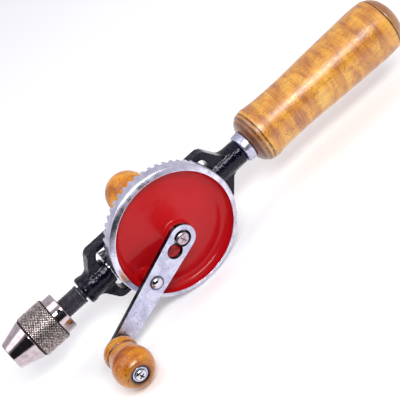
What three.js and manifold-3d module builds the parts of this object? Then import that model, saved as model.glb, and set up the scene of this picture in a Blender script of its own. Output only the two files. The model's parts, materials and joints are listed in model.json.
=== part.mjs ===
// A hand drill: a cast loop frame carries a geared spindle with a three-jaw chuck, a hand-cranked
// bevel wheel, a side knob and a turned wooden handle.
//
// Millimetres, +Z up. The spindle runs along X with the chuck at -X and the handle at +X. The wheel
// turns about Y and its face looks towards -Y. The spindle and wheel axes cross at one point, the
// crossing, and every size below is measured from there. The whole drill is then moved so that the
// middle of its bounding box is the origin.
import * as THREE from "three";
import ManifoldModule from "manifold-3d";

const manifoldLibrary = await ManifoldModule();
manifoldLibrary.setup();

const { PI, cos, sin, tan } = Math;
const FULL_TURN = 2 * PI;
const radians = THREE.MathUtils.degToRad;

// ---- driving dimensions ---------------------------------------------------------------------

// Along the spindle line, from the chuck to the handle.
const CHUCK_NOSE_X = -111;
const SLEEVE_FRONT_X = -96.3;
const SLEEVE_REAR_X = -79.3;
const CHUCK_REAR_X = -72.9;
const SPINDLE_SHOULDER_X = -59.8;
const FRAME_NOSE_X = -58.8;
const FRAME_NECK_X = 60;
const GRIP_SHOULDER_X = 65.7;
const GRIP_END_X = 179;

// Gears. The two pitch cones meet at the crossing, so both teeth shrink towards it.
const WHEEL_TEETH = 56;
const PINION_TEETH = 14;
const GEAR_MODULE = 1.375;
const GEAR_FACE_WIDTH = 8;
const PRESSURE_ANGLE = radians(20);
const ADDENDUM = 0.8 * GEAR_MODULE;
const DEDENDUM = GEAR_MODULE;
const FLANK_BACKLASH = 0.07;
const WHEEL_PITCH_RADIUS = (WHEEL_TEETH * GEAR_MODULE) / 2;
const PINION_PITCH_RADIUS = (PINION_TEETH * GEAR_MODULE) / 2;
const GEAR_INNER_RADIUS = WHEEL_PITCH_RADIUS - GEAR_FACE_WIDTH;

// Drive wheel, measured forwards (towards -Y) from the spindle axis.
const WHEEL_RADIUS = 39.4;
const RECESS_RADIUS = 35.9;
const RIM_FRONT = 18.5;
const WEB_FRONT = 12.2;
const WEB_BACK = 9.4;
const COVE_RADIUS = 5;
const LIP_RADIUS = 3;
const WHEEL_HUB_FRONT = 22.6;
const WHEEL_HUB_FRONT_RADIUS = 7.8;
const WHEEL_HUB_BACK = 5.9;
const WHEEL_HUB_BACK_RADIUS = 9;
const PILLAR_RADIUS = 4.2;
const PILLAR_FOOT_RADIUS = 7;

// Crank, in the plane in front of the wheel.
const CRANK_RADIUS = 70.9;
const CRANK_ANGLE = radians(202);
const CRANK_BACK = 22.9;
const CRANK_THICKNESS = 3.1;
const CRANK_FRONT = CRANK_BACK + CRANK_THICKNESS;
const CRANK_HUB_END_RADIUS = 8;
const CRANK_KNOB_END_RADIUS = 5.6;
const KEYHOLE_UPPER_RADIUS = 5.2;
const KEYHOLE_LOWER_RADIUS = 4.7;
const KEYHOLE_SPACING = 8.1;
const RIVET_RADIUS_ON_CRANK = 28.1;
const RIVET_HEAD_RADIUS = 3.7;
const RIVET_HEAD_HEIGHT = 2.2;
const AXLE_HEAD_FRONT = CRANK_FRONT + 1.3;
const AXLE_HEAD_RADIUS = 3.9;

// Frame.
const RAIL_OUTER_Z = 18.7;
const RAIL_INNER_Z = 15.2;
const RAIL_DEPTH = 8;
const WINDOW_FRONT_X = -42;
const WINDOW_REAR_X = 39.5;
const NOSE_HUB_RADIUS = 7.9;
const NOSE_COLLAR_RADIUS = 8.3;
const NOSE_HUB_REAR_X = -39.8;
const NECK_RADIUS = 7.4;
const CROSSPIECE_FRONT_X = -12;
const CROSSPIECE_REAR_X = 9;
const BOSS_RADIUS = 8.5;
const BOSS_FRONT = 4.6;
const BOSS_BACK_Y = 20;
const BOSS_BACK_RADIUS = 6.5;
const CORNER_RUN = 5; // how far along the spindle the loop's corners are slanted
const RAIL_EDGE = 0.7; // chamfer along the rails

// Handle.
const FERRULE_RADIUS = 9.1;
const TENON_RADIUS = 7.1;
const TANG_FRONT_X = 46.3;
const TANG_END_X = 140;
const GRIP_FRONT_RADIUS = 16.9;
const GRIP_WAIST_RADIUS = 15.8;
const GRIP_REAR_RADIUS = 17.8;

// Knobs.
const KNOB_BALL_RADIUS = 11.9;
const KNOB_BALL_CENTRE = 45.5;
const KNOB_END = 55;
const KNOB_BACK = CRANK_FRONT + 0.3;
const KNOB_BASE_RADIUS = 10.3;
const KNOB_WAIST_RADIUS = 9.5;
const KNOB_WAIST = KNOB_BACK + 7.4;
const KNOB_RECESS_FLOOR = KNOB_END - 1.6;
const KNOB_RECESS_RADIUS = 4.8;
const KNOB_WASHER_FRONT = KNOB_RECESS_FLOOR + 1;
const SCREW_HEAD_RADIUS = 3.4;
const NUT_THICKNESS = 2.8;
const NUT_CORNER_RADIUS = 4.6;
const HALF_DEPTH = 56.5; // the crank screw and the side knob reach equally far from the spindle axis
const SIDE_BALL_RADIUS = 13.7;
const SIDE_BALL_CENTRE_Y = 45;
const SIDE_BASE_Y = BOSS_BACK_Y + 0.3;
const SIDE_BASE_RADIUS = 8.4;
const SIDE_WAIST_RADIUS = 7.4;
const SIDE_STUD_END_Y = 50;

// Chuck.
const CHUCK_NOSE_RADIUS = 8.4;
const CHUCK_CONE_RADIUS = 12.6;
const CHUCK_BODY_RADIUS = 11.7;
const SLEEVE_RADIUS = 13.1;
const JAW_COUNT = 3;
const JAW_ANGLE = radians(16); // between a jaw's slide and the spindle
const JAW_RADIUS = 2.2;
const JAW_GRIP_LENGTH = 8;
const DRILL_RADIUS_OPEN = 3.2; // half of the largest drill bit the open jaws take
const JAW_FRONT_X = CHUCK_NOSE_X + 0.4;
const JAW_REAR_X = -82.6;
const FIRST_JAW_ANGLE = radians(90);
const RING_NUT_FRONT_X = SLEEVE_FRONT_X + 0.5;
const RING_NUT_REAR_X = RING_NUT_FRONT_X + 3;
const GROOVE_RADIUS = 9.8;
const KEY_HOLE_RADIUS = 1.4;
const FIRST_KEY_HOLE_ANGLE = radians(53); // from +Z towards -Y

// Shafts and running gaps.
const SPINDLE_THREAD_RADIUS = 5.9;
const SPINDLE_FRONT_X = -83.4;
const SPINDLE_RADIUS = 3.9;
const SPINDLE_TAIL_RADIUS = 3;
const SPINDLE_TAIL_X = -4.8;
const PINION_HUB_RADIUS = 6.2;
const PINION_HUB_REAR_X = -14.2;
const PINION_PIN_X = -22;
const PINION_PIN_RADIUS = 1.25;
const NOSE_WASHER_RADIUS = 7;
const THRUST_WASHER_RADIUS = 6.5;
const HUB_WASHER_RADIUS = 7.5;
const AXLE_WASHER_RADIUS = 4.1;
const AXLE_RADIUS = 3;
const AXLE_NECK_RADIUS = 2;
const TANG_RADIUS = 4;
const KNOB_SCREW_RADIUS = 2.5;
const RIVET_RADIUS = 2;
const RUNNING_GAP = 0.05;
const FIXED_GAP = 0.02;
const END_GAP = 0.15;
const PAST = 1; // how far a cutting tool reaches past the surface it cuts
const SLEEVE_BORE_RADIUS = CHUCK_BODY_RADIUS + 2 * RUNNING_GAP;

// Facets around a full turn. A bore that a shaft turns in is finer than the shaft, or its flats
// would close the running gap.
const FINE = 40;
const MEDIUM = 28;
const SMALL = 16;

// ---- shape helpers --------------------------------------------------------------------------

// Turns a profile of [radius, height] points about +Y. Points run anticlockwise in that plane, so
// the outside wall is walked with rising height.
function turned(profile, facets) {
  const points = profile.map(([radius, height]) => new THREE.Vector2(radius, height));
  return new THREE.LatheGeometry(points, facets);
}

// Turns a profile of [x, radius] points about the X axis. Points run from low x to high x along the
// outside.
function turnedAboutX(profile, facets) {
  const geometry = turned(profile.map(([x, radius]) => [radius, x]), facets);
  return geometry.rotateZ(-PI / 2);
}

// Turns a profile of [forward, radius] points about the Y axis, where forward is measured towards
// -Y. Points run from the front to the back along the outside.
function turnedAboutY(profile, facets) {
  return turned(profile.map(([forward, radius]) => [radius, -forward]), facets);
}

// The closed section of a ring, as points along its axis and out from it.
function ringSection(start, end, inner, outer) {
  return [[start, inner], [start, outer], [end, outer], [end, inner], [start, inner]];
}

function ringAboutX(lowX, highX, innerRadius, outerRadius, facets) {
  return turnedAboutX(ringSection(lowX, highX, innerRadius, outerRadius), facets);
}

function ringAboutY(front, back, innerRadius, outerRadius, facets) {
  return turnedAboutY(ringSection(front, back, innerRadius, outerRadius), facets);
}

function rodAboutX(lowX, highX, radius, facets) {
  return turnedAboutX([[lowX, 0], [lowX, radius], [highX, radius], [highX, 0]], facets);
}

function rodAboutY(front, back, radius, facets) {
  return turnedAboutY([[front, 0], [front, radius], [back, radius], [back, 0]], facets);
}

// Points on a circular arc in a profile, both ends included.
function arcPoints(centre, radius, startDegrees, endDegrees, steps) {
  const points = [];
  for (let step = 0; step <= steps; step += 1) {
    const angle = radians(startDegrees + ((endDegrees - startDegrees) * step) / steps);
    points.push([centre[0] + radius * cos(angle), centre[1] + radius * sin(angle)]);
  }
  return points;
}

// Extrudes an outline drawn in the XZ plane, from front to back along +Y.
function plateAlongY(shape, front, back, curveSegments) {
  const geometry = new THREE.ExtrudeGeometry(shape, {
    depth: front - back,
    bevelEnabled: false,
    curveSegments,
  });
  return geometry.rotateX(PI / 2).translate(0, -back, 0);
}

function toManifold(geometry) {
  const position = geometry.getAttribute("position");
  const index = geometry.getIndex();
  const corners = index ? index.array : Array.from({ length: position.count }, (_, corner) => corner);
  const mesh = new manifoldLibrary.Mesh({
    numProp: 3,
    vertProperties: Float32Array.from(position.array),
    triVerts: Uint32Array.from(corners),
  });
  mesh.merge();
  return new manifoldLibrary.Manifold(mesh);
}

function fromManifold(manifold) {
  const result = manifold.getMesh();
  const geometry = new THREE.BufferGeometry();
  geometry.setAttribute("position", new THREE.BufferAttribute(result.vertProperties, 3));
  geometry.setIndex(new THREE.BufferAttribute(result.triVerts, 1));
  geometry.computeVertexNormals();
  return geometry;
}

function joined(...geometries) {
  return fromManifold(manifoldLibrary.Manifold.union(geometries.map(toManifold)));
}

function cut(geometry, ...tools) {
  const cutters = manifoldLibrary.Manifold.union(tools.map(toManifold));
  return fromManifold(toManifold(geometry).subtract(cutters));
}

function common(first, ...others) {
  return fromManifold(others.reduce((solid, other) => solid.intersect(toManifold(other)), toManifold(first)));
}

function piece(name, geometry, finish) {
  const mesh = new THREE.Mesh(geometry, new THREE.MeshStandardMaterial(finish));
  mesh.name = name;
  return mesh;
}

// ---- finishes -------------------------------------------------------------------------------

const BLACK_ENAMEL = { color: 0x1b1b28, roughness: 0.22, metalness: 0 };
const RED_ENAMEL = { color: 0xb81a1f, roughness: 0.2, metalness: 0 };
const ZINC = { color: 0xc2c4da, roughness: 0.32, metalness: 1 };
const NICKEL = { color: 0xb9aeb0, roughness: 0.18, metalness: 1 };
const KNURLED_STEEL = { color: 0x8f8886, roughness: 0.45, metalness: 1 };
const BRIGHT_STEEL = { color: 0xc9c9cf, roughness: 0.2, metalness: 1 };
const DARK_STEEL = { color: 0x3a3a40, roughness: 0.4, metalness: 1 };
const GRIP_WOOD = { color: 0xd8993f, roughness: 0.35, metalness: 0 };
const KNOB_WOOD = { color: 0xc97a20, roughness: 0.3, metalness: 0 };
const PALE_KNOB_WOOD = { color: 0xdb9a35, roughness: 0.35, metalness: 0 };

// ---- frame ----------------------------------------------------------------------------------

// The loop's outline is mirrored about the spindle line.
function frameOutline() {
  const hubSide = NOSE_HUB_RADIUS - 1.3;
  const frontCornerX = WINDOW_FRONT_X - 2;
  const rearCornerX = WINDOW_REAR_X + 1.7;
  const neckCornerX = rearCornerX + CORNER_RUN + 2.7;
  const half = new THREE.Path();
  half.moveTo(frontCornerX - 2 * CORNER_RUN, hubSide);
  half.quadraticCurveTo(frontCornerX - CORNER_RUN - 2.2, hubSide + 0.4, frontCornerX - CORNER_RUN - 0.6, 9.4);
  half.lineTo(frontCornerX - 1.4, RAIL_OUTER_Z - 2.3);
  half.quadraticCurveTo(frontCornerX, RAIL_OUTER_Z, frontCornerX + 2.4, RAIL_OUTER_Z);
  half.lineTo(rearCornerX - 2.6, RAIL_OUTER_Z);
  half.quadraticCurveTo(rearCornerX, RAIL_OUTER_Z, rearCornerX + 1.2, RAIL_OUTER_Z - 1.9);
  half.lineTo(neckCornerX - 1.5, NECK_RADIUS + 1.6);
  half.quadraticCurveTo(neckCornerX, NECK_RADIUS - 0.6, neckCornerX + 4.1, NECK_RADIUS - 1);
  return mirroredShape(half.getPoints(3));
}

function windowOutline() {
  const frontChamfer = 2;
  const rearRounding = 3.5;
  const half = new THREE.Path();
  half.moveTo(WINDOW_FRONT_X, RAIL_INNER_Z - 1.6 * frontChamfer);
  half.lineTo(WINDOW_FRONT_X + frontChamfer, RAIL_INNER_Z);
  half.lineTo(WINDOW_REAR_X - rearRounding, RAIL_INNER_Z);
  half.quadraticCurveTo(WINDOW_REAR_X, RAIL_INNER_Z, WINDOW_REAR_X, RAIL_INNER_Z - rearRounding);
  return mirroredShape(half.getPoints(3));
}

// Runs anticlockwise, as a shape with a hole in it has to.
function mirroredShape(upperHalf) {
  const lowerHalf = upperHalf.map((point) => new THREE.Vector2(point.x, -point.y));
  return new THREE.Shape([...lowerHalf, ...upperHalf.reverse()]);
}

function frame() {
  const loop = frameOutline();
  loop.holes.push(windowOutline());
  const loopPlate = new THREE.ExtrudeGeometry(loop, {
    depth: RAIL_DEPTH - 2 * RAIL_EDGE,
    bevelThickness: RAIL_EDGE,
    bevelSize: RAIL_EDGE,
    bevelOffset: -RAIL_EDGE,
    bevelSegments: 1,
  }).rotateX(PI / 2).translate(0, RAIL_DEPTH / 2 - RAIL_EDGE, 0);
  const crosspieceLength = CROSSPIECE_REAR_X - CROSSPIECE_FRONT_X;
  const crosspiece = new THREE.BoxGeometry(crosspieceLength, RAIL_DEPTH - 1, 2 * RAIL_INNER_Z + 2);
  crosspiece.translate((CROSSPIECE_FRONT_X + CROSSPIECE_REAR_X) / 2, 0, 0);
  const boss = turnedAboutY([
    [BOSS_FRONT, 0],
    [BOSS_FRONT, BOSS_RADIUS],
    [-BOSS_BACK_Y / 4, BOSS_RADIUS],
    [-BOSS_BACK_Y, BOSS_BACK_RADIUS],
    [-BOSS_BACK_Y, 0],
  ], MEDIUM);
  const noseHub = turnedAboutX([
    [FRAME_NOSE_X, 0],
    [FRAME_NOSE_X, NOSE_COLLAR_RADIUS - 0.6],
    [FRAME_NOSE_X + 0.7, NOSE_COLLAR_RADIUS],
    [FRAME_NOSE_X + 3.2, NOSE_COLLAR_RADIUS],
    [FRAME_NOSE_X + 4.6, NOSE_HUB_RADIUS],
    [NOSE_HUB_REAR_X, NOSE_HUB_RADIUS],
    [NOSE_HUB_REAR_X, 0],
  ], MEDIUM);
  const neck = rodAboutX(WINDOW_REAR_X - 2, FRAME_NECK_X, NECK_RADIUS, MEDIUM);
  const frontBearing = rodAboutX(
    FRAME_NOSE_X - PAST,
    NOSE_HUB_REAR_X + PAST,
    SPINDLE_RADIUS + RUNNING_GAP,
    MEDIUM,
  );
  const rearBearing = rodAboutX(
    CROSSPIECE_FRONT_X - PAST,
    SPINDLE_TAIL_X + END_GAP,
    SPINDLE_TAIL_RADIUS + RUNNING_GAP,
    MEDIUM,
  );
  const axleHole = rodAboutY(BOSS_FRONT + PAST, -BOSS_BACK_Y - PAST, AXLE_RADIUS + FIXED_GAP, SMALL);
  const tangHole = rodAboutX(
    TANG_FRONT_X - 2 * END_GAP,
    FRAME_NECK_X + PAST,
    TANG_RADIUS + FIXED_GAP,
    SMALL,
  );
  const casting = joined(loopPlate, crosspiece, boss, noseHub, neck);
  return piece("frame", cut(casting, frontBearing, rearBearing, axleHole, tangHole), BLACK_ENAMEL);
}

// ---- handle ---------------------------------------------------------------------------------

// The grip's outline from the shoulder by the ferrule to the domed end.
function gripCurve() {
  return new THREE.SplineCurve([
    new THREE.Vector2(GRIP_SHOULDER_X, FERRULE_RADIUS + 0.5),
    new THREE.Vector2(GRIP_SHOULDER_X + 1.9, GRIP_FRONT_RADIUS - 3.3),
    new THREE.Vector2(GRIP_SHOULDER_X + 5.3, GRIP_FRONT_RADIUS - 0.7),
    new THREE.Vector2(GRIP_SHOULDER_X + 9.3, GRIP_FRONT_RADIUS),
    new THREE.Vector2(GRIP_SHOULDER_X + 18.3, GRIP_WAIST_RADIUS + 0.1),
    new THREE.Vector2(GRIP_SHOULDER_X + 37.3, GRIP_WAIST_RADIUS),
    new THREE.Vector2(GRIP_END_X - 52, GRIP_REAR_RADIUS - 1),
    new THREE.Vector2(GRIP_END_X - 32, GRIP_REAR_RADIUS - 0.4),
    new THREE.Vector2(GRIP_END_X - 19, GRIP_REAR_RADIUS),
    new THREE.Vector2(GRIP_END_X - 9, GRIP_REAR_RADIUS - 0.8),
    new THREE.Vector2(GRIP_END_X - 3.4, GRIP_REAR_RADIUS - 4.4),
    new THREE.Vector2(GRIP_END_X - 0.7, 7),
    new THREE.Vector2(GRIP_END_X, 0),
  ]);
}

function handle() {
  const group = new THREE.Group();
  const tangBore = TANG_RADIUS + FIXED_GAP;
  const tangBoreEnd = TANG_END_X + 2 * END_GAP;
  const cupFloor = FRAME_NECK_X + 1.1;
  const tenonFront = cupFloor + 0.1;
  const cupFront = FRAME_NECK_X + FIXED_GAP;
  const cupRear = GRIP_SHOULDER_X - 2 * END_GAP;
  const grip = turnedAboutX([
    [tangBoreEnd, 0],
    [tangBoreEnd, tangBore],
    [tenonFront, tangBore],
    [tenonFront, TENON_RADIUS],
    [GRIP_SHOULDER_X, TENON_RADIUS],
    ...gripCurve().getPoints(18).map((point) => [point.x, Math.max(point.y, 0)]),
  ], FINE);
  const ferrule = turnedAboutX([
    [cupFront, tangBore],
    [cupFront, FERRULE_RADIUS - 1],
    [FRAME_NECK_X + 0.5, FERRULE_RADIUS - 0.5],
    [FRAME_NECK_X + 3.6, FERRULE_RADIUS - 0.1],
    [cupRear, FERRULE_RADIUS],
    [cupRear, TENON_RADIUS + FIXED_GAP],
    [cupFloor, TENON_RADIUS + FIXED_GAP],
    [cupFloor, tangBore],
    [cupFront, tangBore],
  ], FINE);
  const tang = rodAboutX(TANG_FRONT_X, TANG_END_X, TANG_RADIUS, SMALL);
  group.add(piece("handle_grip", grip, GRIP_WOOD));
  group.add(piece("handle_ferrule", ferrule, ZINC));
  group.add(piece("handle_tang", tang, DARK_STEEL));
  return group;
}

// ---- gears ----------------------------------------------------------------------------------

// Scales a bar so that it shrinks towards the crossing, as every line of a bevel tooth does. The
// bar runs along X and its section is true where x = -WHEEL_PITCH_RADIUS.
function shrunkTowardsCrossing(geometry) {
  const position = geometry.getAttribute("position");
  for (let i = 0; i < position.count; i += 1) {
    const scale = -position.getX(i) / WHEEL_PITCH_RADIUS;
    position.setY(i, position.getY(i) * scale);
    position.setZ(i, position.getZ(i) * scale);
  }
  return geometry;
}

// Extrudes an outline drawn in the YZ plane along X.
function barAlongX(shape, lowX, highX) {
  const geometry = new THREE.ExtrudeGeometry(shape, { depth: highX - lowX, bevelEnabled: false });
  return geometry.rotateY(PI / 2).rotateX(PI / 2).translate(lowX, 0, 0);
}

// One straight-sided gap between two wheel teeth. Its floor lies a dedendum in front of the pitch
// line, and its mouth is open behind the teeth.
function wheelToothGap() {
  const mouthDepth = ADDENDUM + 1;
  const quarterPitch = (PI * GEAR_MODULE) / 4 + FLANK_BACKLASH;
  const floorHalfWidth = quarterPitch - DEDENDUM * tan(PRESSURE_ANGLE);
  const mouthHalfWidth = quarterPitch + mouthDepth * tan(PRESSURE_ANGLE);
  const floorY = -PINION_PITCH_RADIUS - DEDENDUM;
  const mouthY = -PINION_PITCH_RADIUS + mouthDepth;
  const gap = new THREE.Shape([
    new THREE.Vector2(floorY, -floorHalfWidth),
    new THREE.Vector2(mouthY, -mouthHalfWidth),
    new THREE.Vector2(mouthY, mouthHalfWidth),
    new THREE.Vector2(floorY, floorHalfWidth),
  ]);
  return shrunkTowardsCrossing(barAlongX(gap, -WHEEL_RADIUS - PAST, -GEAR_INNER_RADIUS + PAST));
}

// Half the angle that a pinion tooth fills at a given radius, from the involute of its base circle.
function pinionHalfToothAngle(radius) {
  const baseRadius = PINION_PITCH_RADIUS * cos(PRESSURE_ANGLE);
  const involute = (angle) => tan(angle) - angle;
  const halfAngleAtPitch = PI / (2 * PINION_TEETH) - FLANK_BACKLASH / PINION_PITCH_RADIUS;
  const angleHere = Math.acos(Math.min(1, baseRadius / radius));
  return halfAngleAtPitch + involute(PRESSURE_ANGLE) - involute(angleHere);
}

// The pinion's outline in the YZ plane, with one tooth pointing along -Y into a wheel gap.
function pinionOutline() {
  const baseRadius = PINION_PITCH_RADIUS * cos(PRESSURE_ANGLE);
  const rootRadius = PINION_PITCH_RADIUS - DEDENDUM;
  const tipRadius = PINION_PITCH_RADIUS + ADDENDUM;
  const flankRadii = [rootRadius, baseRadius, (baseRadius + 2 * PINION_PITCH_RADIUS) / 3, tipRadius];
  const points = [];
  for (let tooth = 0; tooth < PINION_TEETH; tooth += 1) {
    const middle = PI + (tooth * FULL_TURN) / PINION_TEETH;
    for (const radius of flankRadii) {
      points.push(polarPoint(radius, middle - pinionHalfToothAngle(radius)));
    }
    for (const radius of [...flankRadii].reverse()) {
      points.push(polarPoint(radius, middle + pinionHalfToothAngle(radius)));
    }
  }
  return new THREE.Shape(points);
}

function polarPoint(radius, angle) {
  return new THREE.Vector2(radius * cos(angle), radius * sin(angle));
}

function pinion() {
  const teeth = shrunkTowardsCrossing(barAlongX(pinionOutline(), -WHEEL_PITCH_RADIUS, -GEAR_INNER_RADIUS));
  const hub = rodAboutX(-WHEEL_PITCH_RADIUS + 0.5, PINION_HUB_REAR_X, PINION_HUB_RADIUS, MEDIUM);
  const bore = rodAboutX(
    -WHEEL_PITCH_RADIUS - PAST,
    PINION_HUB_REAR_X + PAST,
    SPINDLE_RADIUS + FIXED_GAP,
    SMALL,
  );
  return piece("pinion", cut(joined(teeth, hub), bore, pinionPinShape(FIXED_GAP)), DARK_STEEL);
}

// The cross pin, or with a clearance the tool that cuts its hole a little longer and wider.
function pinionPinShape(clearance) {
  const radius = PINION_PIN_RADIUS + clearance;
  const length = 2 * (PINION_HUB_RADIUS - END_GAP) + 10 * clearance;
  const rod = new THREE.CylinderGeometry(radius, radius, length, 12);
  return rod.rotateX(PI / 2).translate(PINION_PIN_X, 0, 0);
}

// ---- spindle --------------------------------------------------------------------------------

function spindle() {
  const shaft = turnedAboutX([
    [SPINDLE_FRONT_X, 0],
    [SPINDLE_FRONT_X, SPINDLE_THREAD_RADIUS - 0.5],
    [SPINDLE_FRONT_X + 0.5, SPINDLE_THREAD_RADIUS],
    [SPINDLE_SHOULDER_X - 0.4, SPINDLE_THREAD_RADIUS],
    [SPINDLE_SHOULDER_X, SPINDLE_THREAD_RADIUS - 0.4],
    [SPINDLE_SHOULDER_X, SPINDLE_RADIUS],
    [PINION_HUB_REAR_X, SPINDLE_RADIUS],
    [PINION_HUB_REAR_X, SPINDLE_TAIL_RADIUS],
    [SPINDLE_TAIL_X, SPINDLE_TAIL_RADIUS],
    [SPINDLE_TAIL_X, 0],
  ], SMALL);
  return piece("spindle", cut(shaft, pinionPinShape(FIXED_GAP)), DARK_STEEL);
}

function spindleSet() {
  const group = new THREE.Group();
  group.add(spindle());
  group.add(pinion());
  group.add(piece("pinion_pin", pinionPinShape(0), BRIGHT_STEEL));
  return group;
}

function thrustWashers() {
  const group = new THREE.Group();
  const noseWasher = ringAboutX(
    NOSE_HUB_REAR_X + END_GAP,
    -WHEEL_PITCH_RADIUS - END_GAP,
    SPINDLE_RADIUS + RUNNING_GAP,
    NOSE_WASHER_RADIUS,
    MEDIUM,
  );
  const thrustWasher = ringAboutX(
    PINION_HUB_REAR_X + END_GAP,
    CROSSPIECE_FRONT_X - END_GAP,
    SPINDLE_TAIL_RADIUS + RUNNING_GAP,
    THRUST_WASHER_RADIUS,
    MEDIUM,
  );
  const hubWasher = ringAboutY(
    WHEEL_HUB_BACK - END_GAP,
    BOSS_FRONT + END_GAP,
    AXLE_RADIUS + RUNNING_GAP,
    HUB_WASHER_RADIUS,
    MEDIUM,
  );
  group.add(piece("nose_washer", noseWasher, BRIGHT_STEEL));
  group.add(piece("thrust_washer", thrustWasher, BRIGHT_STEEL));
  group.add(piece("hub_washer", hubWasher, BRIGHT_STEEL));
  return group;
}

// ---- drive wheel ----------------------------------------------------------------------------

// The front of the web, which spreads from behind the hub's face and slopes down to the cove.
function hubSkirt() {
  const webEdge = RECESS_RADIUS - COVE_RADIUS;
  return new THREE.SplineCurve([
    new THREE.Vector2(WHEEL_HUB_FRONT - 1.5, WHEEL_HUB_FRONT_RADIUS + 0.1),
    new THREE.Vector2(WHEEL_HUB_FRONT - 3.4, WHEEL_HUB_FRONT_RADIUS + 0.8),
    new THREE.Vector2(WEB_FRONT + 5.8, WHEEL_HUB_FRONT_RADIUS + 3.2),
    new THREE.Vector2(WEB_FRONT + 4, webEdge / 2 + 0.5),
    new THREE.Vector2(WEB_FRONT + 2, webEdge / 2 + 7.5),
    new THREE.Vector2(WEB_FRONT, webEdge - 0.4),
  ]);
}

function driveWheel() {
  const toothTipSlope = (PINION_PITCH_RADIUS - ADDENDUM) / WHEEL_PITCH_RADIUS;
  const bore = AXLE_RADIUS + RUNNING_GAP;
  const coveCentre = [WEB_FRONT + COVE_RADIUS, RECESS_RADIUS - COVE_RADIUS];
  const lipCentre = [RIM_FRONT - LIP_RADIUS, WHEEL_RADIUS - LIP_RADIUS];
  const wheelProfile = [
    [WHEEL_HUB_FRONT, bore],
    [WHEEL_HUB_FRONT, WHEEL_HUB_FRONT_RADIUS - 0.5],
    [WHEEL_HUB_FRONT - 0.5, WHEEL_HUB_FRONT_RADIUS],
    ...hubSkirt().getPoints(10).map((point) => [point.x, point.y]),
    ...arcPoints(coveCentre, COVE_RADIUS, 180, 90, 4),
    ...arcPoints(lipCentre, LIP_RADIUS, -10, 90, 5),
    [WHEEL_RADIUS * toothTipSlope, WHEEL_RADIUS],
    [GEAR_INNER_RADIUS * toothTipSlope, GEAR_INNER_RADIUS],
    [WEB_BACK, GEAR_INNER_RADIUS - 0.6],
    [WEB_BACK, WHEEL_HUB_BACK_RADIUS],
    [WHEEL_HUB_BACK, WHEEL_HUB_BACK_RADIUS],
    [WHEEL_HUB_BACK, bore],
    [WHEEL_HUB_FRONT, bore],
  ];
  const disc = turnedAboutY(wheelProfile, WHEEL_TEETH);
  const pillarRoot = WEB_BACK + 0.5;
  const pillar = placedOnCrank(turnedAboutY([
    [CRANK_BACK - FIXED_GAP, 0],
    [CRANK_BACK - FIXED_GAP, PILLAR_RADIUS],
    [WEB_FRONT + 4.2, PILLAR_RADIUS + 0.3],
    [WEB_FRONT + 2, PILLAR_RADIUS + 1],
    [WEB_FRONT + 0.8, PILLAR_RADIUS + 1.8],
    [WEB_FRONT, PILLAR_FOOT_RADIUS],
    [pillarRoot, PILLAR_FOOT_RADIUS],
    [pillarRoot, 0],
  ], SMALL), RIVET_RADIUS_ON_CRANK);
  const rivetHole = placedOnCrank(
    rodAboutY(CRANK_FRONT, WEB_BACK - PAST, RIVET_RADIUS + FIXED_GAP, SMALL),
    RIVET_RADIUS_ON_CRANK,
  );
  const gaps = [];
  for (let tooth = 0; tooth < WHEEL_TEETH; tooth += 1) {
    gaps.push(wheelToothGap().rotateY((tooth * FULL_TURN) / WHEEL_TEETH));
  }
  return piece("drive_wheel", cut(joined(disc, pillar), rivetHole, ...gaps), RED_ENAMEL);
}

function axleSet() {
  const group = new THREE.Group();
  const washerBack = WHEEL_HUB_FRONT + END_GAP;
  const washerFront = washerBack + 0.7;
  const axleBack = -2;
  const axle = turnedAboutY([
    [AXLE_HEAD_FRONT, 0],
    [AXLE_HEAD_FRONT, AXLE_HEAD_RADIUS - 1.3],
    [AXLE_HEAD_FRONT - 0.3, AXLE_HEAD_RADIUS - 0.4],
    [AXLE_HEAD_FRONT - 0.9, AXLE_HEAD_RADIUS],
    [washerFront + END_GAP, AXLE_HEAD_RADIUS],
    [washerFront + END_GAP, AXLE_NECK_RADIUS],
    [WHEEL_HUB_FRONT, AXLE_NECK_RADIUS],
    [WHEEL_HUB_FRONT, AXLE_RADIUS],
    [axleBack, AXLE_RADIUS],
    [axleBack, 0],
  ], SMALL);
  const washer = ringAboutY(
    washerFront,
    washerBack,
    AXLE_NECK_RADIUS + RUNNING_GAP,
    AXLE_WASHER_RADIUS,
    SMALL,
  );
  group.add(piece("wheel_axle", axle, BRIGHT_STEEL));
  group.add(piece("axle_washer", washer, BRIGHT_STEEL));
  return group;
}

// ---- crank ----------------------------------------------------------------------------------

// Moves a shape made around the wheel axle out along the crank arm.
function placedOnCrank(geometry, distance) {
  return geometry.translate(distance, 0, 0).rotateY(-CRANK_ANGLE);
}

// Drawn with the arm along +X from the axle, then turned to the crank's angle. The outline is the
// two end circles and their outer tangents.
function crankArmOutline() {
  const tangentAngle = Math.acos((CRANK_HUB_END_RADIUS - CRANK_KNOB_END_RADIUS) / CRANK_RADIUS);
  const outline = new THREE.Shape();
  outline.absarc(0, 0, CRANK_HUB_END_RADIUS, tangentAngle, FULL_TURN - tangentAngle, false);
  outline.absarc(CRANK_RADIUS, 0, CRANK_KNOB_END_RADIUS, -tangentAngle, tangentAngle, false);
  return outline;
}

function crankArm() {
  const blank = plateAlongY(crankArmOutline(), CRANK_FRONT, CRANK_BACK, 10);
  const throughHole = (distance, radius) => {
    return rodAboutY(CRANK_FRONT + PAST, CRANK_BACK - PAST, radius, SMALL).translate(distance, 0, 0);
  };
  const arm = cut(
    blank,
    throughHole(0, KEYHOLE_UPPER_RADIUS),
    throughHole(KEYHOLE_SPACING, KEYHOLE_LOWER_RADIUS),
    throughHole(RIVET_RADIUS_ON_CRANK, RIVET_RADIUS + FIXED_GAP),
    throughHole(CRANK_RADIUS, KNOB_SCREW_RADIUS + FIXED_GAP),
  );
  return piece("crank_arm", arm.rotateY(-CRANK_ANGLE), ZINC);
}

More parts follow.
